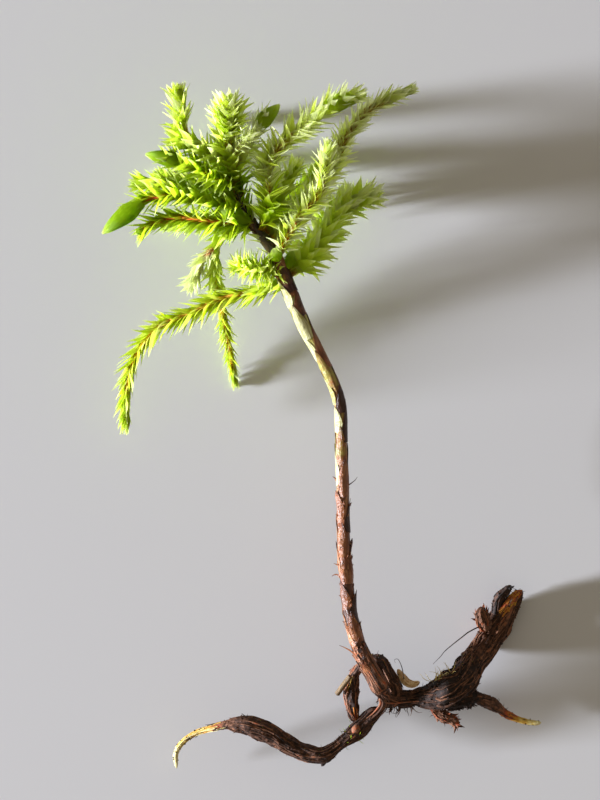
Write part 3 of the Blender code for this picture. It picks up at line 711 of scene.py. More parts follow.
def spreading_leaves(shape, spec, course, chance):
    """The open leaves from the foot of the shoot to its bud. Returns the angle of the next one."""
    turn = chance.uniform(0, math.tau)
    station = FIRST_LEAF
    ruffle = spec.get("ruffle", 0.0)
    parting = spec.get("parting", (2.0, 2.0))
    last = course.length - spec["bud"] * spec.get("bare", 0.75)
    while station < last:
        share = max(0.0, station / course.length)
        room = spec["reach"] * fullness(spec, share) * chance.uniform(0.9, 1.2)
        length = spec["leaf"] * LEAF_STRETCH * (0.75 + 0.25 * fullness(spec, share))
        length *= chance.uniform(0.85, 1.12)
        closing = soft_step((station - last + 3.0) / 3.0)
        spread = math.asin(min(0.95, room / length)) * (1 - 0.4 * closing)
        length = min(length, (course.length - station + TIP_ROOM) / max(0.4, math.cos(spread)))
        # painted shade: on shoots that ask for it, the leaves near the foot are painted older and darker
        shade = 0.45 * (1 - soft_step(share / 0.3)) if spec.get("painted_shade_foot") else 0.0
        form = dict(
            length=length, width=length * LEAF_SLIMNESS * chance.uniform(0.8, 1.2),
            spread=spread * chance.uniform(0.85, 1.2) + ruffle * chance.uniform(-0.5, 0.7)
            + FOOT_SPREAD * (1 - soft_step(share / 0.2)),
            curl=chance.uniform(-0.6, 0.4), trough=chance.uniform(0.2, 0.6),
            twist=chance.uniform(-0.5, 0.5), sway=chance.uniform(-0.4, 0.4) * (1 + 2 * ruffle),
            youth=spec["youth"] + chance.uniform(-0.2, 0.2) + 0.15 * share - shade,
            sweep=Vector(spec.get("sweep", (0, 0, 0))))
        facing = course.around(station, 1.0, turn)[1].z
        if not (parting[0] < share < parting[1] and facing > spec.get("opening", PARTING)):
            add_leaf(shape, course, station, turn, form)
        turn += GOLDEN_ANGLE + chance.uniform(-0.2, 0.2)
        station += LEAF_GAP * chance.uniform(0.75, 1.25) / spec.get("density", 1.0)
    return turn


print("a shoot bears", round(1 / LEAF_GAP), "leaves a millimetre")

# %% [markdown]
# ## Rosettes
# On a few shoots long leaves burst from one short stretch on all sides. Those that face the camera are
# shorter, so that they don't hide the shoot behind them.

# %% Rosette
FACING_SHORTER = 0.28         # how much shorter a leaf is that points at the camera


def rosette(shape, spec, course, chance):
    """Long leaves that burst from one stretch of a shoot, shorter where they face the camera."""
    share, count, size, narrowest, widest = spec["rosette"]
    for k in range(count):
        station = (share + chance.uniform(-0.12, 0.1)) * course.length
        facing = course.around(station, 1.0, k * GOLDEN_ANGLE)[1].z
        length = size * chance.uniform(0.75, 1.1) * (1 - FACING_SHORTER * max(0.0, facing))
        form = dict(length=length, width=length * LEAF_SLIMNESS * chance.uniform(0.9, 1.4),
                    spread=chance.uniform(narrowest, widest), curl=chance.uniform(-0.5, 0.1),
                    trough=chance.uniform(0.2, 0.6), twist=chance.uniform(-0.5, 0.5),
                    sway=chance.uniform(-0.3, 0.3), youth=spec["youth"] + chance.uniform(-0.15, 0.25))
        add_leaf(shape, course, station, k * GOLDEN_ANGLE, form)


print("shoots with a rosette:", sum("rosette" in spec for spec in SHOOTS.values()))

# %% [markdown]
# ## Leafy shoots
# At the tip of a shoot the youngest leaves are still closed: they wrap round one another and make a pointed
# bud. Under the leaves runs the axis, a thin wire that is orange where it is young. On shoots with a painted
# shade foot it is painted nearly black where the shoot leaves the stem, as painted shade. One shoot's tip
# has withered brown.

# %% Buds, axes and whole shoots
BUD_LEAVES = 7


def bud_profile(radius, start, length):
    """The radius of a closed bud: a slim foot, a full middle and a pointed tip."""
    def radius_at(place, _=None):
        past = min(max((place - start) / length, 0.0), 1.0)
        return radius * (0.45 + 0.55 * soft_step(past / 0.35)) * (1 - past**2.2) ** 0.8
    return radius_at


def leafy_shoot(name):
    """The spreading leaves, the leaves wrapped round the bud, then the bud's core and the axis."""
    spec = SHOOTS[name]
    course = courses[name]
    chance = random.Random(name)
    shape = new_shape()
    turn = spreading_leaves(shape, spec, course, chance)
    if "rosette" in spec:
        rosette(shape, spec, course, chance)
    bud_start = course.length - spec["bud"]
    bud_radius = bud_profile(spec["bud_radius"], bud_start, spec["bud"])
    for k in range(BUD_LEAVES):
        station = bud_start + spec["bud"] * 0.09 * k
        form = dict(length=course.length - station, wrap=1.5 - 0.05 * k, rest=0.075 - 0.009 * k,
                    lift=chance.uniform(0.0, 0.06), youth=spec.get("bud_youth", spec["youth"])
                    + chance.uniform(-0.08, 0.12))
        add_wrapped_leaf(shape, course, station, turn, form, bud_radius)
        turn += GOLDEN_ANGLE
    thicken(shape, LEAF_THICKNESS)
    roll_tube(shape, course, bud_start, course.length - 0.03, bud_radius, 10, 0.3,
              spec.get("bud_youth", spec["youth"]) - 0.1, 0.45)
    # the axis; with a painted shade foot it is painted nearly black near the foot, as painted shade
    roll_tube(shape, course, 0.0, bud_start + 0.4,
              lambda place, _: AXIS_RADIUS * (1 - 0.4 * place / course.length), 8, 0.4,
              lambda share: 0.35 * soft_step(share / 0.3) if spec.get("painted_shade_foot")
              else spec.get("axis_youth", 0.35), material_index=1)
    if spec.get("brown_tip"):
        roll_tube(shape, course, course.length - 0.6, course.length + 0.1,
                  lambda place, _: 0.5 * math.sqrt(max(0.0, course.length + 0.1 - place)), 8, 0.12, 0.1,
                  material_index=1)
    finish_piece(name + "_leaves", shape, [LEAF_MATERIALS[spec["slot"]], AXIS_MATERIAL], name)


for name in SHOOTS:
    leafy_shoot(name)

# %% [markdown]
# ## Stem scales
# The stem is wrapped in papery scale leaves, each clasping it more than half round and covering the foot of
# the next. They are cream-green and glossy under the crown, with a darker right side that is partly
# weathered brown and partly painted shade, and red-brown and torn towards the foot. A plain tube with a
# painted pattern would lose their overlapping edges, so each is a real sheet pressed round the stem. First
# comes their paper: its colour by age, green-black where it is painted shade, brown streaks along it and a
# brown tip.

# %% Papery scale
def scale_material(name):
    """Papery scale leaf: red-brown when old, cream-green when young, streaked, with a brown tip."""
    material, tree, output = new_material(name)
    youth = add_node(tree, "Attribute", {"attribute_name": "youth"})
    share = add_node(tree, "Attribute", {"attribute_name": "share"})
    place = add_node(tree, "TexCoord")
    patch = add_node(tree, "TexNoise", {"Scale": 0.7 / MM, "Detail": 4.0, "Roughness": 0.6}, {
        "Vector": place.outputs["Object"]})
    mixed = add_node(tree, "Math", {"operation": "MULTIPLY_ADD", 1: 0.5}, {
        0: patch.outputs["Fac"], 2: youth.outputs["Fac"]})
    toned = add_node(tree, "Math", {"operation": "SUBTRACT", 1: 0.25}, {0: mixed.outputs[0]})
    # the green-black last stop is painted shade, for the stem between the shoots
    ground = add_node(tree, "ValToRGB", links={"Fac": toned.outputs[0]}, ramp=[
        (0.0, "#3E2012"), (0.16, "#A0603C"), (0.3, "#C48A60"), (0.42, "#A86C38"), (0.54, "#C2BA60"),
        (0.68, "#E2E0A6"), (0.86, "#BABC78"), (1.0, "#1E2008")])
    along = add_node(tree, "UVMap", {"uv_map": "UVMap"})
    stretched = add_node(tree, "Mapping", {"Scale": (5.0, 0.5, 1.0)}, {"Vector": along.outputs["UV"]})
    streak = add_node(tree, "TexNoise", {"Scale": 1.0, "Detail": 4.0, "Roughness": 0.6}, {
        "Vector": stretched.outputs["Vector"]})
    streak_share = add_node(tree, "ValToRGB", links={"Fac": streak.outputs["Fac"]}, ramp=[
        (0.4, 0.0), (0.66, 0.75)])
    lined = add_node(tree, "Mix", {"data_type": "RGBA", 7: linear("#4A2C16")}, {
        0: streak_share.outputs["Color"], 6: ground.outputs["Color"]})
    tip_share = add_node(tree, "ValToRGB", links={"Fac": share.outputs["Fac"]}, ramp=[
        (0.82, 0.0), (0.98, 0.7)])
    colour = add_node(tree, "Mix", {"data_type": "RGBA", 7: linear("#5E2A1A")}, {
        0: tip_share.outputs["Color"], 6: lined.outputs[2]})
    creases = add_node(tree, "TexNoise", {"Scale": 2.2 / MM, "Detail": 2.0}, {
        "Vector": place.outputs["Object"]})
    height = add_node(tree, "Math", {"operation": "ADD"}, {
        0: streak.outputs["Fac"], 1: creases.outputs["Fac"]})
    bump = add_node(tree, "Bump", {"Strength": 1.0, "Distance": 0.12 * MM}, {"Height": height.outputs[0]})
    skin = add_node(tree, "BsdfPrincipled", {"Roughness": 0.36, "IOR": 1.45}, {
        "Base Color": colour.outputs[2], "Normal": bump.outputs["Normal"]})
    tree.links.new(skin.outputs[0], output.inputs[0])
    return material


SCALE_MATERIAL = scale_material("papery stem scale")
print("scale material:", SCALE_MATERIAL.name)

# %% [markdown]
# ## The stem's form
# The stem isn't round: ribs and waves run along it, stronger near its foot. It is old and brown at the
# foot, cream-green above, and dark brown where the lowest shoots leave it. Between the shoots it is painted
# green-black, as painted shade for the crown's deep middle. Its right side, away from the window, is
# painted darker: partly the weathered brown that it has there, partly painted shade.

# %% Stem form and colour
stem_course = Course(STEM)
# how young the stem looks at a share of its length; the last values are painted shade, green-black
STEM_AGES_AND_SHADE = ([0.0, 0.2, 0.34, 0.4, 0.55, 0.78, 0.795, 0.82, 0.84, 1.0],
             [0.1, 0.2, 0.3, 0.58, 0.62, 0.72, 0.05, 0.05, 1.12, 1.2])


def station_near(course, x, y):
    """The distance along a line at which it passes a point in plan."""
    gaps = np.hypot(course.rows[:, 0] - x, course.rows[:, 1] - y)
    return float(course.stations[int(gaps.argmin())])


def stem_radius(place, turn=0.0):
    """The stem's radius under its scales: wavy and ribbed, more so near the foot."""
    point, radius = stem_course.at(place)[:2]
    rough = 0.06 + 0.12 * (1 - soft_step((place / stem_course.length - 0.2) / 0.3))
    waves = noise.noise(Vector((1.6 * math.cos(turn), 1.6 * math.sin(turn), place * 0.7)))
    return radius * (0.88 + rough * waves)


def brown_and_painted_shade_side(station, turn):
    """How much older the right side looks: partly the scales' brown, partly painted shade."""
    share = station / stem_course.length
    right = max(0.0, stem_course.around(station, 1.0, turn)[1].x)
    return right * (0.2 + 0.7 * soft_step((share - 0.3) / 0.15)) * (1 - soft_step((share - 0.86) / 0.06))


print("stem:", round(stem_course.length, 1), "mm long")

# %% [markdown]
# ## Scales and torn paper
# The scales spiral up the stem. On the old lower stretch they have worn to scraps of paper that stand off
# it, and a few bracts curl away from it.

# %% Scales round the stem
SCALE_GAP = 1.15
SCALE_LENGTH = 3.6
SCRAPS = 90
TORN_SHARE = 0.42            # the share of the stem that has scraps

chance = random.Random("stem scales")
shape = new_shape()
turn = 1.9
station = 0.2
while station < stem_course.length - 1.5:
    share = station / stem_course.length
    torn = 1 - soft_step((share - 0.3) / 0.2)
    # painted shade: green-black at the top, darker on the right side, which is partly its own brown
    form = dict(length=SCALE_LENGTH * chance.uniform(0.7, 1.2), wrap=chance.uniform(1.1, 1.6),
                rest=chance.uniform(0.02, 0.07), lift=0.05 + 0.2 * torn * chance.random(),
                youth=float(np.interp(share, *STEM_AGES_AND_SHADE)) + chance.uniform(-0.16, 0.14)
                - brown_and_painted_shade_side(station, turn), foot=0.1)
    add_wrapped_leaf(shape, stem_course, station, turn, form, stem_radius, 8)
    turn += GOLDEN_ANGLE + chance.uniform(-0.25, 0.25)
    station += SCALE_GAP * chance.uniform(0.7, 1.3)
for k in range(SCRAPS):
    station = stem_course.length * chance.uniform(0.02, TORN_SHARE)
    size = chance.uniform(0.5, 1.4)
    form = dict(rise=stem_radius(station), length=size, width=size * chance.uniform(0.2, 0.4),
                spread=chance.uniform(0.05, 0.3), curl=chance.uniform(-0.4, 0.9),
                trough=chance.uniform(0.2, 0.7), twist=chance.uniform(-0.8, 0.8),
                youth=chance.uniform(0.0, 0.4))
    add_leaf(shape, stem_course, station, chance.uniform(0, math.tau), form)
# bracts that stand off: where they leave the stem in plan, the angle round it, and their form
BRACTS = [
    (2.2, -14.9, 3.3, dict(length=0.95, width=0.2, spread=1.1, curl=1.6)),
    (2.2, -13.9, 3.0, dict(length=0.7, width=0.16, spread=0.9, curl=0.4)),
    (2.6, -23.3, 2.9, dict(length=2.3, width=0.22, spread=0.5, curl=0.25)),
    (2.4, -19.6, 2.8, dict(length=0.6, width=0.16, spread=0.7, curl=0.3)),
    (2.1, -9.2, 2.6, dict(length=0.7, width=0.2, spread=0.5, curl=0.4)),
    (2.2, -17.2, 0.5, dict(length=0.6, width=0.2, spread=0.6, curl=-0.3)),
    (1.9, -8.2, 0.3, dict(length=0.6, width=0.18, spread=0.6, curl=0.2)),
    (-4.2, 14.6, 2.6, dict(length=0.9, width=0.3, spread=0.4, curl=0.5)),
]
for x, y, angle, form in BRACTS:
    station = station_near(stem_course, x, y)
    form.update(rise=stem_radius(station), youth=0.22, trough=0.5, twist=0.3)
    add_leaf(shape, stem_course, station, angle, form)
scale_faces = shape.faces[:]
print("scales, scraps and bracts:", len(scale_faces), "faces before they get their thickness")

# %% [markdown]
# ## Leaves on the stem
# Pale leaves stand up beside the stem under the crown, and darker ones close the crown's middle, so that no
# gap shows between the shoots. The darker ones are painted shade: their low youth stands for the deep shade
# there.

# %% Leaves on the stem
# where a leaf leaves the stem in plan, the angle round it, and its form
STEM_LEAVES = [
    (-5.9, 18.5, 2.3, dict(length=2.3, spread=0.45, curl=0.2)),
    (-5.6, 18.3, 2.8, dict(length=2.0, spread=0.65, curl=0.1)),
    (-4.8, 17.2, 2.9, dict(length=1.8, spread=0.7, curl=-0.2)),
    (-6.8, 20.2, 0.4, dict(length=2.0, spread=0.5, curl=-0.2)),
    (-6.0, 19.0, 0.2, dict(length=1.9, spread=0.6, curl=-0.3)),
    # from here on the darker leaves: painted shade for the crown's deep middle
    (-6.9, 20.3, 0.2, dict(length=3.2, spread=0.5, curl=0.2, youth=0.3)),
    (-7.1, 20.7, 0.6, dict(length=3.0, spread=0.7, curl=-0.1, youth=0.2)),
    (-7.3, 21.0, 0.3, dict(length=3.3, spread=0.7, curl=-0.3, youth=0.3)),
    (-7.5, 21.3, 0.1, dict(length=3.0, spread=0.8, curl=-0.2, youth=0.2)),
    (-7.7, 21.6, 0.5, dict(length=3.0, spread=0.9, curl=-0.2, youth=0.3)),
    (-7.9, 21.9, 0.2, dict(length=3.0, spread=0.8, curl=-0.3, youth=0.3)),
    (-8.0, 22.1, 0.7, dict(length=2.6, spread=1.0, curl=-0.3, youth=0.2)),
]
for x, y, angle, form in STEM_LEAVES:
    station = station_near(stem_course, x, y)
    form.update(rise=stem_radius(station), youth=form.get("youth", 0.85), trough=0.4, twist=0.3,
                width=form["length"] * 0.15)
    add_leaf(shape, stem_course, station, angle, form)
print("leaves on the stem:", len(STEM_LEAVES))

# %% [markdown]
# ## Buds on the stem
# Three green buds sit in the forks, one round and two pointed. Each is a few leaves wrapped round a short
# line of its own, and gets a core below so that no gap shows inside.

# %% Buds on the stem
POINTED = 1.3                 # a bud stretched more than this has a pointed tip


def round_bud(shape, centre, radius, heading, youth, stretch):
    """A closed bud on the stem: its wrapping leaves. Returns the line and radius for its core."""
    heading = Vector(heading).normalized()
    centre = Vector(centre)
    course = Course([tuple(centre + heading * radius * stretch * k) for k in (-1.1, -0.4, 0.4, 1.25)], 0.02)
    skew, point = (1.0, 0.6) if stretch < POINTED else (0.85, 1.0)

    def radius_at(place, _=None):
        past = min(max(place / course.length, 0.0), 1.0)
        return radius * 0.96 * math.sin(math.pi * past ** skew) ** point

    for k in range(4):
        station = 0.05 + 0.08 * k
        form = dict(length=course.length - station, wrap=1.7, rest=0.06 - 0.01 * k, lift=0.03, youth=youth,
                    foot=0.35)
        add_wrapped_leaf(shape, course, station, k * GOLDEN_ANGLE, form, radius_at)
    return course, radius_at


bud_cores = [round_bud(shape, *bud) for bud in (
    ((-4.65, 17.15, 9.95), 0.62, (-0.3, 0.8, 0.5), 0.42, 1.0),
    ((-3.25, 16.7, 9.1), 0.5, (0.25, 1.0, 0.1), 0.36, 1.7),
    ((-8.6, 21.1, 11.3), 0.72, (-1.0, 0.42, 0.1), 0.3, 2.1))]
print("buds on the stem:", len(bud_cores))

# %% [markdown]
# ## The stem's core
# The sheets get their thickness before the tubes are added, so that the tubes stay as they are. The
# stem's core is rolled inside its scales, in the colour of the scales over it, and the whole piece is
# finished.

# %% Core of the stem
SCALE_THICKNESS = 0.035
# the leaves and buds take the second material
for face in set(shape.faces) - set(scale_faces):
    face.material_index = 1
thicken(shape, SCALE_THICKNESS)
roll_tube(shape, stem_course, 0.0, stem_course.length, stem_radius, 24, 0.25,
          lambda share: float(np.interp(share, *STEM_AGES_AND_SHADE)) - 0.16, 0.2)
for course, radius_at in bud_cores:
    roll_tube(shape, course, 0.0, course.length, radius_at, 10, 0.12, 0.3, 0.45, material_index=1)
fibre(shape, [(2.4, -5.8, 6.3), (2.8, -5.5, 6.5), (3.2, -5.2, 6.6), (3.45, -4.85, 6.65)], 0.06, 0.05)
finish_piece("stem_scales", shape, [SCALE_MATERIAL, LEAF_MATERIALS["leaf_mid"]], "stem")

# %% [markdown]
# ## Root surface
# The rootstock is a knot of old wood, felt of rootlets and soil. Each stretch is a tube rolled round its
# route with lumps and lengthwise ridges in its radius. A smooth tube with a bump texture alone would keep a
# clean outline, and this one is ragged.

# %% Ragged tubes
ROOT_SIDES = 36
ROOT_STEP = 0.11              # from one ring of a root tube to the next


def ragged(course, lump=0.22, ridge=0.16, grain=0.09):
    """The radius of a root round its line: lumps, ridges along it, fine grain and rounded ends."""
    def radius_at(place, turn=0.0):
        point, radius = course.at(place)[:2]
        spot = Vector((math.cos(turn), math.sin(turn), 0.0))
        lumps = noise.noise(point * 0.8 + spot * 0.8)
        ridges = noise.noise(Vector((spot.x * 4.2 * radius + 7.0, spot.y * 4.2 * radius, place * 0.5)))
        grains = noise.noise(spot * radius * 6 + Vector((3.0, 0, place * 5)))
        from_end = max(0.0, min(place, course.length - place))
        rounding = min(1.0, math.sqrt(from_end / radius))
        rough = (ridge * ridges + grain * grains) * min(1.0, radius / 0.6)
        return rounding * (radius * (1 + lump * lumps) + rough)
    return radius_at


def root_tube(shape, course, radius_at, youth=0.15, sides=ROOT_SIDES, step=ROOT_STEP):
    """A tube along the whole root."""
    roll_tube(shape, course, 0.0, course.length, radius_at, sides, step, youth)


print("a root tube has", ROOT_SIDES, "sides")

# %% [markdown]
# ## What sits on a root
# Wood fibres lie along a root, and torn scales stand off it. Each kind has a function that scatters a
# number of them over a root's surface, with their own sizes and ages.

# %% Fibres and torn scales
FLAKE_THICKNESS = 0.03
BARK_THICKNESS = 0.035        # of the rhizome's coarser flakes


@apart
def strands(shape, course, radius_at, chance, count, length, radius, youth, span=(0.0, 0.9),
            sector=(0.0, math.tau), drift=0.5):
    """Wood fibres that lie along a root and follow its surface."""
    for _ in range(count):
        start = course.length * chance.uniform(*span)
        reach = min(length * chance.uniform(0.5, 1.3), course.length - start)
        turn = chance.uniform(*sector)
        lean = chance.uniform(-drift, drift)
        points = []
        for k in range(6):
            place = start + reach * k / 5
            angle = turn + lean * k / 5 + chance.uniform(-0.06, 0.06)
            points.append(course.around(place, radius_at(place, -angle) + radius * 0.2, angle)[0])
        fibre(shape, points, radius * chance.uniform(0.6, 1.4), youth + chance.uniform(-0.14, 0.16),
              step=0.25)


@apart
def flakes(shape, course, radius_at, chance, count, length, youth, spread=(0.05, 0.4), width=0.3):
    """Torn scales that stand off a root."""
    for _ in range(count):
        station = chance.uniform(0.02, 0.92) * course.length
        size = length * chance.uniform(0.6, 1.3)
        turn = chance.uniform(0, math.tau)
        form = dict(rise=radius_at(station, -turn) * 0.97, length=size,
                    width=size * width * chance.uniform(0.6, 1.2), spread=chance.uniform(*spread),
                    curl=chance.uniform(-0.6, 0.6), trough=chance.uniform(0.2, 0.8),
                    twist=chance.uniform(-1.0, 1.0), youth=youth + chance.uniform(-0.12, 0.18),
                    sway=chance.uniform(-0.3, 0.3) * size)
        add_leaf(shape, course, station, turn, form)


print("thickness of a torn scale:", FLAKE_THICKNESS, "mm")

# %% [markdown]
# ## Soil and hairs
# Crumbs of soil cling to a root, and fine hairs leave it on all sides. A crumb is a ball of twenty
# triangles pushed out of shape, because hundreds of them are needed, and a hair is a fibre that wanders.

# %% Crumbs and hairs
@apart
def crumbs(shape, course, radius_at, chance, count, size, youth=0.1):
    """Grains of soil stuck on a root."""
    youth_layer = shape.verts.layers.float["youth"]
    for _ in range(count):
        station = chance.uniform(0.02, 0.98) * course.length
        turn = chance.uniform(0, math.tau)
        spot = course.around(station, radius_at(station, -turn) + size * chance.uniform(-0.3, 0.5), turn)[0]
        radius = size * chance.uniform(0.4, 1.2)
        grain = bmesh.ops.create_icosphere(shape, subdivisions=1, radius=radius)["verts"]
        age = youth + chance.uniform(-0.08, 0.2)
        for vert in grain:
            vert.co = Vector([c * chance.uniform(0.7, 1.3) for c in vert.co]) + spot
            vert[youth_layer] = age


def hair(shape, start, heading, length, chance, radius=0.03, youth=0.25, bend=0.7, material_index=0):
    """A fine hair that leaves a point and wanders."""
    heading = Vector(heading).normalized()
    points = [Vector(start)]
    for _ in range(4):
        wander = Vector([chance.uniform(-bend, bend) for _ in range(3)])
        heading = (heading + wander).normalized()
        point = points[-1] + heading * length / 4
        point.z = max(point.z, 0.05)
        points.append(point)
    fibre(shape, points, radius, youth, material_index=material_index)


@apart
def hairs(shape, course, radius_at, chance, count, length, youth=0.2, lean=0.6, span=(0.02, 0.98),
          material_index=0):
    """Fine hairs that leave a root on all sides."""
    for _ in range(count):
        station = chance.uniform(*span) * course.length
        turn = chance.uniform(0, math.tau)
        spot, out = course.around(station, radius_at(station, -turn) * 0.9, turn)
        heading = out + course.at(station)[2] * chance.uniform(-lean, lean)
        hair(shape, spot, heading, length * chance.uniform(0.5, 1.4), chance,
             youth=youth + chance.uniform(-0.1, 0.2), material_index=material_index)


print("kinds of cover on a root: fibres, flakes, crumbs, hairs")

# %% [markdown]
# ## The rootstock's routes
# A knot of wood under the stem's foot sends a thick arm to the right, and soil clings below the bend. The
# arm's end is torn off, with a stub and a fork sticking out. The last value of a point is the radius.

# %% Rhizome routes
RHIZOME_ARM = [
    (6.9, -26.8, 3.9, 0.9), (8.25, -27.0, 3.8, 0.85), (9.15, -26.9, 3.8, 0.78), (10.15, -26.8, 3.95, 1.0),
    (11.35, -26.5, 4.15, 1.4), (12.65, -26.0, 4.35, 1.72), (13.85, -25.0, 4.21, 1.55),
    (14.85, -23.6, 3.21, 1.3), (15.95, -22.2, 1.8, 1.25), (16.85, -20.8, 0.96, 1.25),
    (17.55, -19.6, 0.85, 1.3), (18.45, -18.3, 1.0, 1.0), (19.25, -17.1, 1.15, 0.65),
    (19.95, -16.2, 1.25, 0.25),
]
RHIZOME_KNOT = [
    (4.55, -22.7, 3.7, 0.5), (5.35, -23.5, 3.9, 1.0), (5.95, -24.6, 4.0, 1.2), (6.6, -25.8, 4.05, 1.3),
    (6.75, -26.8, 3.95, 1.15), (6.0, -27.7, 3.8, 0.75),
]
RHIZOME_SOIL = [
    (10.3, -27.0, 3.8, 0.5), (11.5, -27.1, 3.9, 0.75), (13.0, -27.1, 3.9, 0.95), (14.4, -26.9, 3.87, 0.9),
    (15.6, -26.9, 3.51, 0.6),
]
RHIZOME_STUB = [
    (16.5, -20.2, 1.8, 0.6), (16.0, -19.2, 2.82, 0.75), (15.8, -18.4, 3.22, 0.6), (15.8, -17.8, 3.32, 0.3),
]
RHIZOME_FORK = [
    (17.3, -18.9, 1.4, 0.5), (17.6, -17.2, 1.75, 0.5), (18.2, -16.4, 2.05, 0.45), (18.85, -15.7, 2.25, 0.2),
]
arm, knot, soil, stub, fork = [
    Course(route) for route in (RHIZOME_ARM, RHIZOME_KNOT, RHIZOME_SOIL, RHIZOME_STUB, RHIZOME_FORK)]
arm_radius, knot_radius, soil_radius, stub_radius, fork_radius = [
    ragged(course) for course in (arm, knot, soil, stub, fork)]
print("arm of the rhizome:", round(arm.length, 1), "mm long")

# %% [markdown]
# ## The rootstock
# The rootstock is wood first: tubes with flakes and lengthwise fibres, orange where the arm is torn.
# Strands of the stem run over the knot into the runner and into the arm, which is how the real plant holds
# together.

# %% Wood of the rhizome
UP_LEFT = (1.2, 3.3)          # the sector round the arm that faces up and left

chance = random.Random("rhizome")
shape = new_shape()
flakes(shape, arm, arm_radius, chance, 90, 0.9, 0.26, (0.02, 0.2), 0.18)
flakes(shape, knot, knot_radius, chance, 60, 0.9, 0.26, (0.05, 0.4), 0.22)
flakes(shape, soil, soil_radius, chance, 40, 0.5, 0.14)
flakes(shape, stub, stub_radius, chance, 24, 0.8, 0.36, (0.05, 0.3), 0.25)
flakes(shape, fork, fork_radius, chance, 14, 0.6, 0.1)
thicken(shape, BARK_THICKNESS)
root_tube(shape, arm, arm_radius, lambda share: 0.12 + 0.16 * soft_step((share - 0.35) / 0.25))
for course, radius_at, youth in ((knot, knot_radius, 0.2), (soil, soil_radius, 0.08),
                                 (stub, stub_radius, 0.32), (fork, fork_radius, 0.16)):
    root_tube(shape, course, radius_at, youth)
strands(shape, arm, arm_radius, chance, 150, 4.0, 0.1, 0.3, (0.35, 0.85))
strands(shape, arm, arm_radius, chance, 130, 2.6, 0.1, 0.2, (0.0, 0.45))
strands(shape, knot, knot_radius, chance, 60, 2.5, 0.11, 0.28)
strands(shape, soil, soil_radius, chance, 20, 1.5, 0.08, 0.12)
strands(shape, stub, stub_radius, chance, 24, 1.8, 0.09, 0.36)
strands(shape, fork, fork_radius, chance, 12, 1.8, 0.07, 0.1)
# the torn end: orange wood fibres along the last stretch of the arm
strands(shape, arm, arm_radius, chance, 46, 3.6, 0.13, 0.56, (0.83, 0.93), UP_LEFT, 0.25)
strands(shape, arm, arm_radius, chance, 8, 3.2, 0.1, 0.74, (0.84, 0.9), (1.6, 2.6), 0.15)
# strands of the stem that run over the knot into the runner and into the arm
TO_RUNNER = [(6.15, -26.9, 5.85), (6.1, -27.6, 5.1), (5.5, -28.4, 4.55), (4.5, -29.2, 4.3)]
TO_ARM = [(6.5, -26.8, 5.7), (7.4, -27.1, 5.15), (8.7, -27.0, 4.6), (10.0, -26.9, 4.8)]
for k in range(46):
    turn = chance.uniform(0.1, 3.0)
    shift = Vector((chance.uniform(-0.55, 0.45), chance.uniform(-0.3, 0.3), chance.uniform(-0.5, 0.15)))
    points = [stem_course.around(place, stem_radius(place, -turn) + 0.03, turn)[0]
              for place in (4.0 + chance.uniform(-1.8, 1.5), 1.8, 0.4)]
    points += [Vector(point) + shift for point in (TO_ARM if chance.random() < 0.35 else TO_RUNNER)]
    fibre(shape, points, chance.uniform(0.08, 0.17), chance.uniform(0.18, 0.5), 6, 0.25)
print("wood of the rhizome:", len(shape.faces), "faces")

# %% [markdown]
# ## Felt and soil of the rootstock
# Hairs stand on the wood, pale ones in the bend of the arm, and longer rootlets lie over it or hang below
# the knot. Crumbs of soil come last, most of them on the arm and in the felt.

# %% Hairs, rootlets and soil of the rhizome
hairs(shape, arm, arm_radius, chance, 26, 0.5)
hairs(shape, knot, knot_radius, chance, 24, 0.6)
hairs(shape, soil, soil_radius, chance, 30, 0.4, 0.12)
hairs(shape, arm, arm_radius, chance, 12, 0.8, 0.2, 1.0, (0.93, 0.99))
# pale hairs in the bend of the arm
for x, y in ((10.6, -24.3), (11.2, -24.2), (11.6, -23.9), (12.2, -23.8), (12.6, -23.5), (11.9, -24.4)):
    for _ in range(3):
        spot = (x + chance.uniform(0.0, 0.6), y - 0.9, 5.3)
        hair(shape, spot, (chance.uniform(-0.9, -0.1), 1.0, 0.5), 1.4, chance, 0.035, 0.95)
# a long rootlet over the arm and a hooked one beside the stem's foot
fibre(shape, [(16.8, -19.3, 2.1), (14.8, -20.2, 3.6), (13.8, -20.9, 4.3), (12.3, -22.1, 4.8),
              (11.7, -22.8, 4.9), (11.0, -23.5, 4.8)], 0.07, 0.16, 6, 0.3)
fibre(shape, [(8.1, -25.3, 4.6), (8.05, -24.6, 5.3), (7.85, -23.7, 5.9), (7.5, -23.0, 6.1),
              (7.15, -23.05, 5.9), (7.25, -23.4, 5.8)], 0.05, 0.15, 6, 0.2)
# a beard of rootlets below the knot
for k in range(18):
    start = (chance.uniform(6.5, 9.0), -27.6, 3.8)
    hair(shape, start, (chance.uniform(-0.6, 0.7), -1.0, 0.1), chance.uniform(0.8, 1.7), chance, 0.05,
         chance.uniform(0.1, 0.4))
crumbs(shape, arm, arm_radius, chance, 420, 0.13, 0.1)
crumbs(shape, knot, knot_radius, chance, 130, 0.12, 0.14)
crumbs(shape, soil, soil_radius, chance, 320, 0.16, 0.06)
crumbs(shape, stub, stub_radius, chance, 20, 0.09, 0.14)
crumbs(shape, fork, fork_radius, chance, 50, 0.09, 0.04)
finish_piece("rhizome_bark", shape, [ROOT_MATERIAL], "rhizome")

# %% [markdown]
# ## The runner
# The runner creeps to the lower left, thick and dark at first, then thin and tan, and turns up in a pale
# green tip. The age along it drives its colour from soil-dark over tan to pale yellow-green. Short hairs
# cover the dark part, a bare twig sticks out below it, and a salmon bud sits where it leaves the knot.

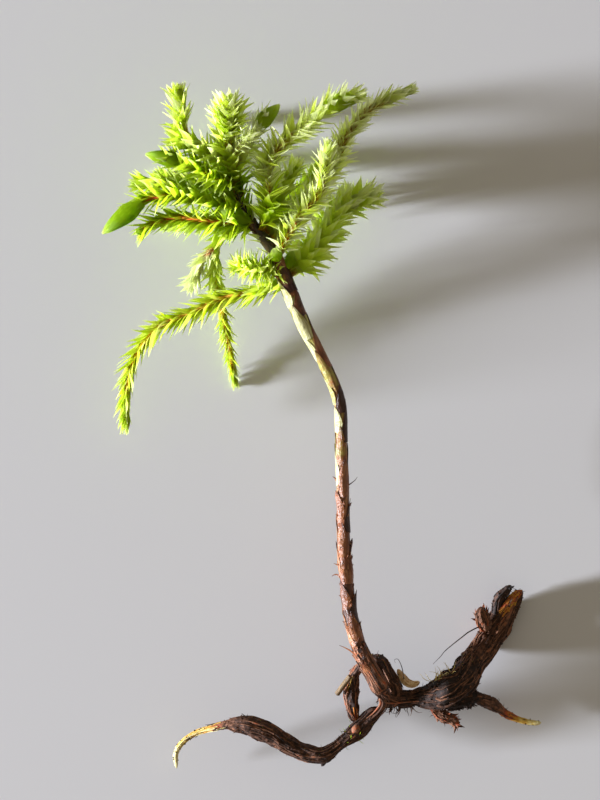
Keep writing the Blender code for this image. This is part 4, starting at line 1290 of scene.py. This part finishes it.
# %% Runner
RUNNER = [
    (5.82, -27.9, 3.8, 0.68), (5.0, -28.6, 3.75, 0.72), (4.15, -29.4, 3.72, 0.75),
    (3.35, -30.2, 3.78, 0.85), (2.25, -31.1, 3.95, 0.6), (1.0, -32.1, 4.1, 0.6), (0.0, -32.6, 4.2, 0.75),
    (-1.5, -32.5, 4.17, 0.8), (-3.45, -31.6, 4.09, 0.9), (-5.2, -30.5, 4.2, 0.95), (-6.9, -29.8, 4.4, 0.95),
    (-8.2, -29.5, 4.4, 0.75), (-9.4, -29.5, 4.29, 0.45), (-10.8, -29.8, 3.95, 0.35),
    (-12.0, -30.15, 3.56, 0.27), (-13.2, -30.7, 3.08, 0.25), (-14.2, -31.6, 2.61, 0.25),
    (-14.65, -32.6, 2.2, 0.26), (-14.6, -33.6, 1.8, 0.16), (-14.55, -34.0, 1.65, 0.05),
]
RUNNER_TWIG = [(0.7, -32.4, 4.02, 0.4), (0.2, -33.1, 3.76, 0.35), (-0.1, -33.75, 3.57, 0.15)]
RUNNER_AGES = ([0.0, 0.6, 0.68, 0.76, 0.84, 0.92, 1.0], [0.2, 0.26, 0.34, 0.66, 0.8, 0.92, 1.05])
MOSSY_MATERIAL = LEAF_MATERIALS["leaf_dark"]

runner, twig = Course(RUNNER), Course(RUNNER_TWIG)
runner_radius = ragged(runner)
chance = random.Random("runner")
shape = new_shape()
flakes(shape, runner, runner_radius, chance, 90, 0.7, 0.18, (0.05, 0.35), 0.2)
thicken(shape, FLAKE_THICKNESS)
root_tube(shape, runner, runner_radius, lambda share: float(np.interp(share, *RUNNER_AGES)), 28)
root_tube(shape, twig, ragged(twig), 0.1, 20)
strands(shape, runner, runner_radius, chance, 120, 3.5, 0.08, 0.24, (0.0, 0.62))
strands(shape, runner, runner_radius, chance, 22, 4.0, 0.05, 0.85, (0.66, 0.8))
hairs(shape, runner, runner_radius, chance, 110, 0.4, 0.08, span=(0.02, 0.7))
hairs(shape, runner, runner_radius, chance, 16, 0.7, 0.05, span=(0.1, 0.2), material_index=1)
crumbs(shape, runner, runner_radius, chance, 160, 0.1, 0.08)
crumbs(shape, twig, ragged(twig), chance, 24, 0.09, 0.04)
salmon_bud = Course([(3.0, -30.6, 4.2, 0.1), (3.2, -30.2, 4.35, 0.4), (3.5, -29.8, 4.3, 0.42),
                     (3.7, -29.5, 4.2, 0.1)])
root_tube(shape, salmon_bud, ragged(salmon_bud, 0.1, 0.06, 0.04), 0.46, 16)
finish_piece("runner_bark", shape, [ROOT_MATERIAL, MOSSY_MATERIAL], "left_runner")

# %% [markdown]
# ## The side root
# A short root leaves the arm to the lower right. It is dark at first, reddens past its middle, and ends in
# a yellow tip, the youngest part, where it was still growing.

# %% Side root
SIDE_ROOT = [
    (14.7, -26.5, 3.92, 0.5), (15.75, -27.0, 3.47, 0.58), (16.6, -27.4, 2.91, 0.66),
    (17.5, -27.9, 2.45, 0.55), (18.1, -28.4, 2.17, 0.4), (18.8, -28.8, 1.96, 0.35), (19.5, -29.1, 1.88, 0.32),
    (20.6, -29.35, 1.85, 0.28), (21.5, -29.45, 1.81, 0.25), (21.85, -29.4, 1.79, 0.12),
]
SIDE_ROOT_AGES = ([0.0, 0.4, 0.52, 0.62, 0.75, 1.0], [0.18, 0.34, 0.56, 0.6, 0.8, 1.0])

side_root = Course(SIDE_ROOT)
side_radius = ragged(side_root)
chance = random.Random("side root")
shape = new_shape()
flakes(shape, side_root, side_radius, chance, 26, 0.5, 0.3, (0.05, 0.3), 0.2)
thicken(shape, FLAKE_THICKNESS)
root_tube(shape, side_root, side_radius, lambda share: float(np.interp(share, *SIDE_ROOT_AGES)), 24)
strands(shape, side_root, side_radius, chance, 22, 2.0, 0.06, 0.24, (0.0, 0.45))
hairs(shape, side_root, side_radius, chance, 14, 0.4, 0.2, span=(0.0, 0.6))
crumbs(shape, side_root, side_radius, chance, 40, 0.07, 0.1)
finish_piece("side_root_bark", shape, [ROOT_MATERIAL], "side_root")

# %% [markdown]
# ## The hanging root
# The root below the arm is short, reddish and flaky: its bark comes off in broad scales.

# %% Hanging root
HANGING_ROOT = [
    (11.0, -27.5, 3.7, 0.4), (11.4, -28.2, 3.55, 0.5), (12.2, -28.72, 3.55, 0.58), (12.95, -29.1, 3.52, 0.5),
    (13.35, -29.55, 3.4, 0.3), (13.6, -29.85, 3.3, 0.1),
]

hanging_root = Course(HANGING_ROOT)
hanging_radius = ragged(hanging_root, 0.3, 0.2)
chance = random.Random("hanging root")
shape = new_shape()
flakes(shape, hanging_root, hanging_radius, chance, 46, 0.7, 0.36, (0.05, 0.5), 0.3)
thicken(shape, FLAKE_THICKNESS)
root_tube(shape, hanging_root, hanging_radius, 0.34, 24)
strands(shape, hanging_root, hanging_radius, chance, 20, 1.6, 0.07, 0.4)
hairs(shape, hanging_root, hanging_radius, chance, 22, 0.6, 0.2)
crumbs(shape, hanging_root, hanging_radius, chance, 50, 0.08, 0.12)
finish_piece("hanging_root_flakes", shape, [ROOT_MATERIAL], "hanging_root")

# %% [markdown]
# ## The old strand
# An old strand of fibres lies left of the stem's foot. Its bark is gone, so it is mostly loose fibres that
# drift round it, a few of them pale.

# %% Root strand
ROOT_STRAND = [
    (4.0, -23.0, 6.5, 0.2), (3.7, -23.6, 5.7, 0.3), (3.2, -24.5, 4.8, 0.45), (2.95, -25.5, 4.1, 0.55),
    (2.85, -26.5, 3.8, 0.65), (2.95, -27.6, 3.7, 0.65), (3.15, -28.6, 3.65, 0.5), (3.4, -29.3, 3.65, 0.35),
]

strand = Course(ROOT_STRAND)
strand_radius = ragged(strand)
chance = random.Random("root strand")
shape = new_shape()
flakes(shape, strand, strand_radius, chance, 30, 0.6, 0.3, (0.05, 0.4), 0.2)
thicken(shape, FLAKE_THICKNESS)
root_tube(shape, strand, strand_radius, 0.16, 24)
strands(shape, strand, strand_radius, chance, 60, 3.0, 0.08, 0.36, drift=0.9)
strands(shape, strand, strand_radius, chance, 8, 3.0, 0.06, 0.68)
hairs(shape, strand, strand_radius, chance, 30, 0.4, 0.2)
crumbs(shape, strand, strand_radius, chance, 50, 0.07, 0.1)
finish_piece("root_strand_fibres", shape, [ROOT_MATERIAL], "root_strand")

# %% [markdown]
# ## Straw and bark
# Two bits of litter are caught in the rootstock: a short straw left of the stem's foot, and a beige
# crescent of bark in the bend. Both are dry, pale and streaked along their length.

# %% Straw and bark
STRAW = [(1.45, -26.5, 4.3), (2.05, -25.65, 4.9), (2.75, -24.7, 5.5)]
STRAW_RADIUS = 0.25
STRAW_RIBS = 0.08             # the height of its four ribs, as a share of its radius
BARK = [
    (7.45, -24.0, 4.5, 0.2), (8.0, -24.85, 4.55, 0.34), (8.5, -25.4, 4.55, 0.36), (9.1, -25.55, 4.5, 0.32),
    (9.7, -25.3, 4.5, 0.18),
]
STRAW_MATERIAL = strand_material("dry straw", [
    (0.3, "#2E2010"), (0.5, "#6E5632"), (0.7, "#96784C")], 0.6, 0.35)
BARK_MATERIAL = strand_material("dry beige bark", [
    (0.3, "#6A3E1E"), (0.5, "#C0925C"), (0.72, "#F0D8AC")], 0.5, 0.3)

straw = Course(STRAW)
shape = new_shape()
roll_tube(shape, straw, 0.0, straw.length,
          lambda place, turn: STRAW_RADIUS * (1 + STRAW_RIBS * math.cos(4 * turn)), 16, 0.2, 0.5)
finish_piece("straw", shape, [STRAW_MATERIAL], "straw_bit")
bark = Course(BARK)
shape = new_shape()
bark_radius = ragged(bark, 0.2, 0.12)
root_tube(shape, bark, bark_radius, 0.55, 24, 0.08)
strands(shape, bark, bark_radius, random.Random("bark"), 14, 2.0, 0.05, 0.6)
finish_piece("bark", shape, [BARK_MATERIAL], "bark_bit")
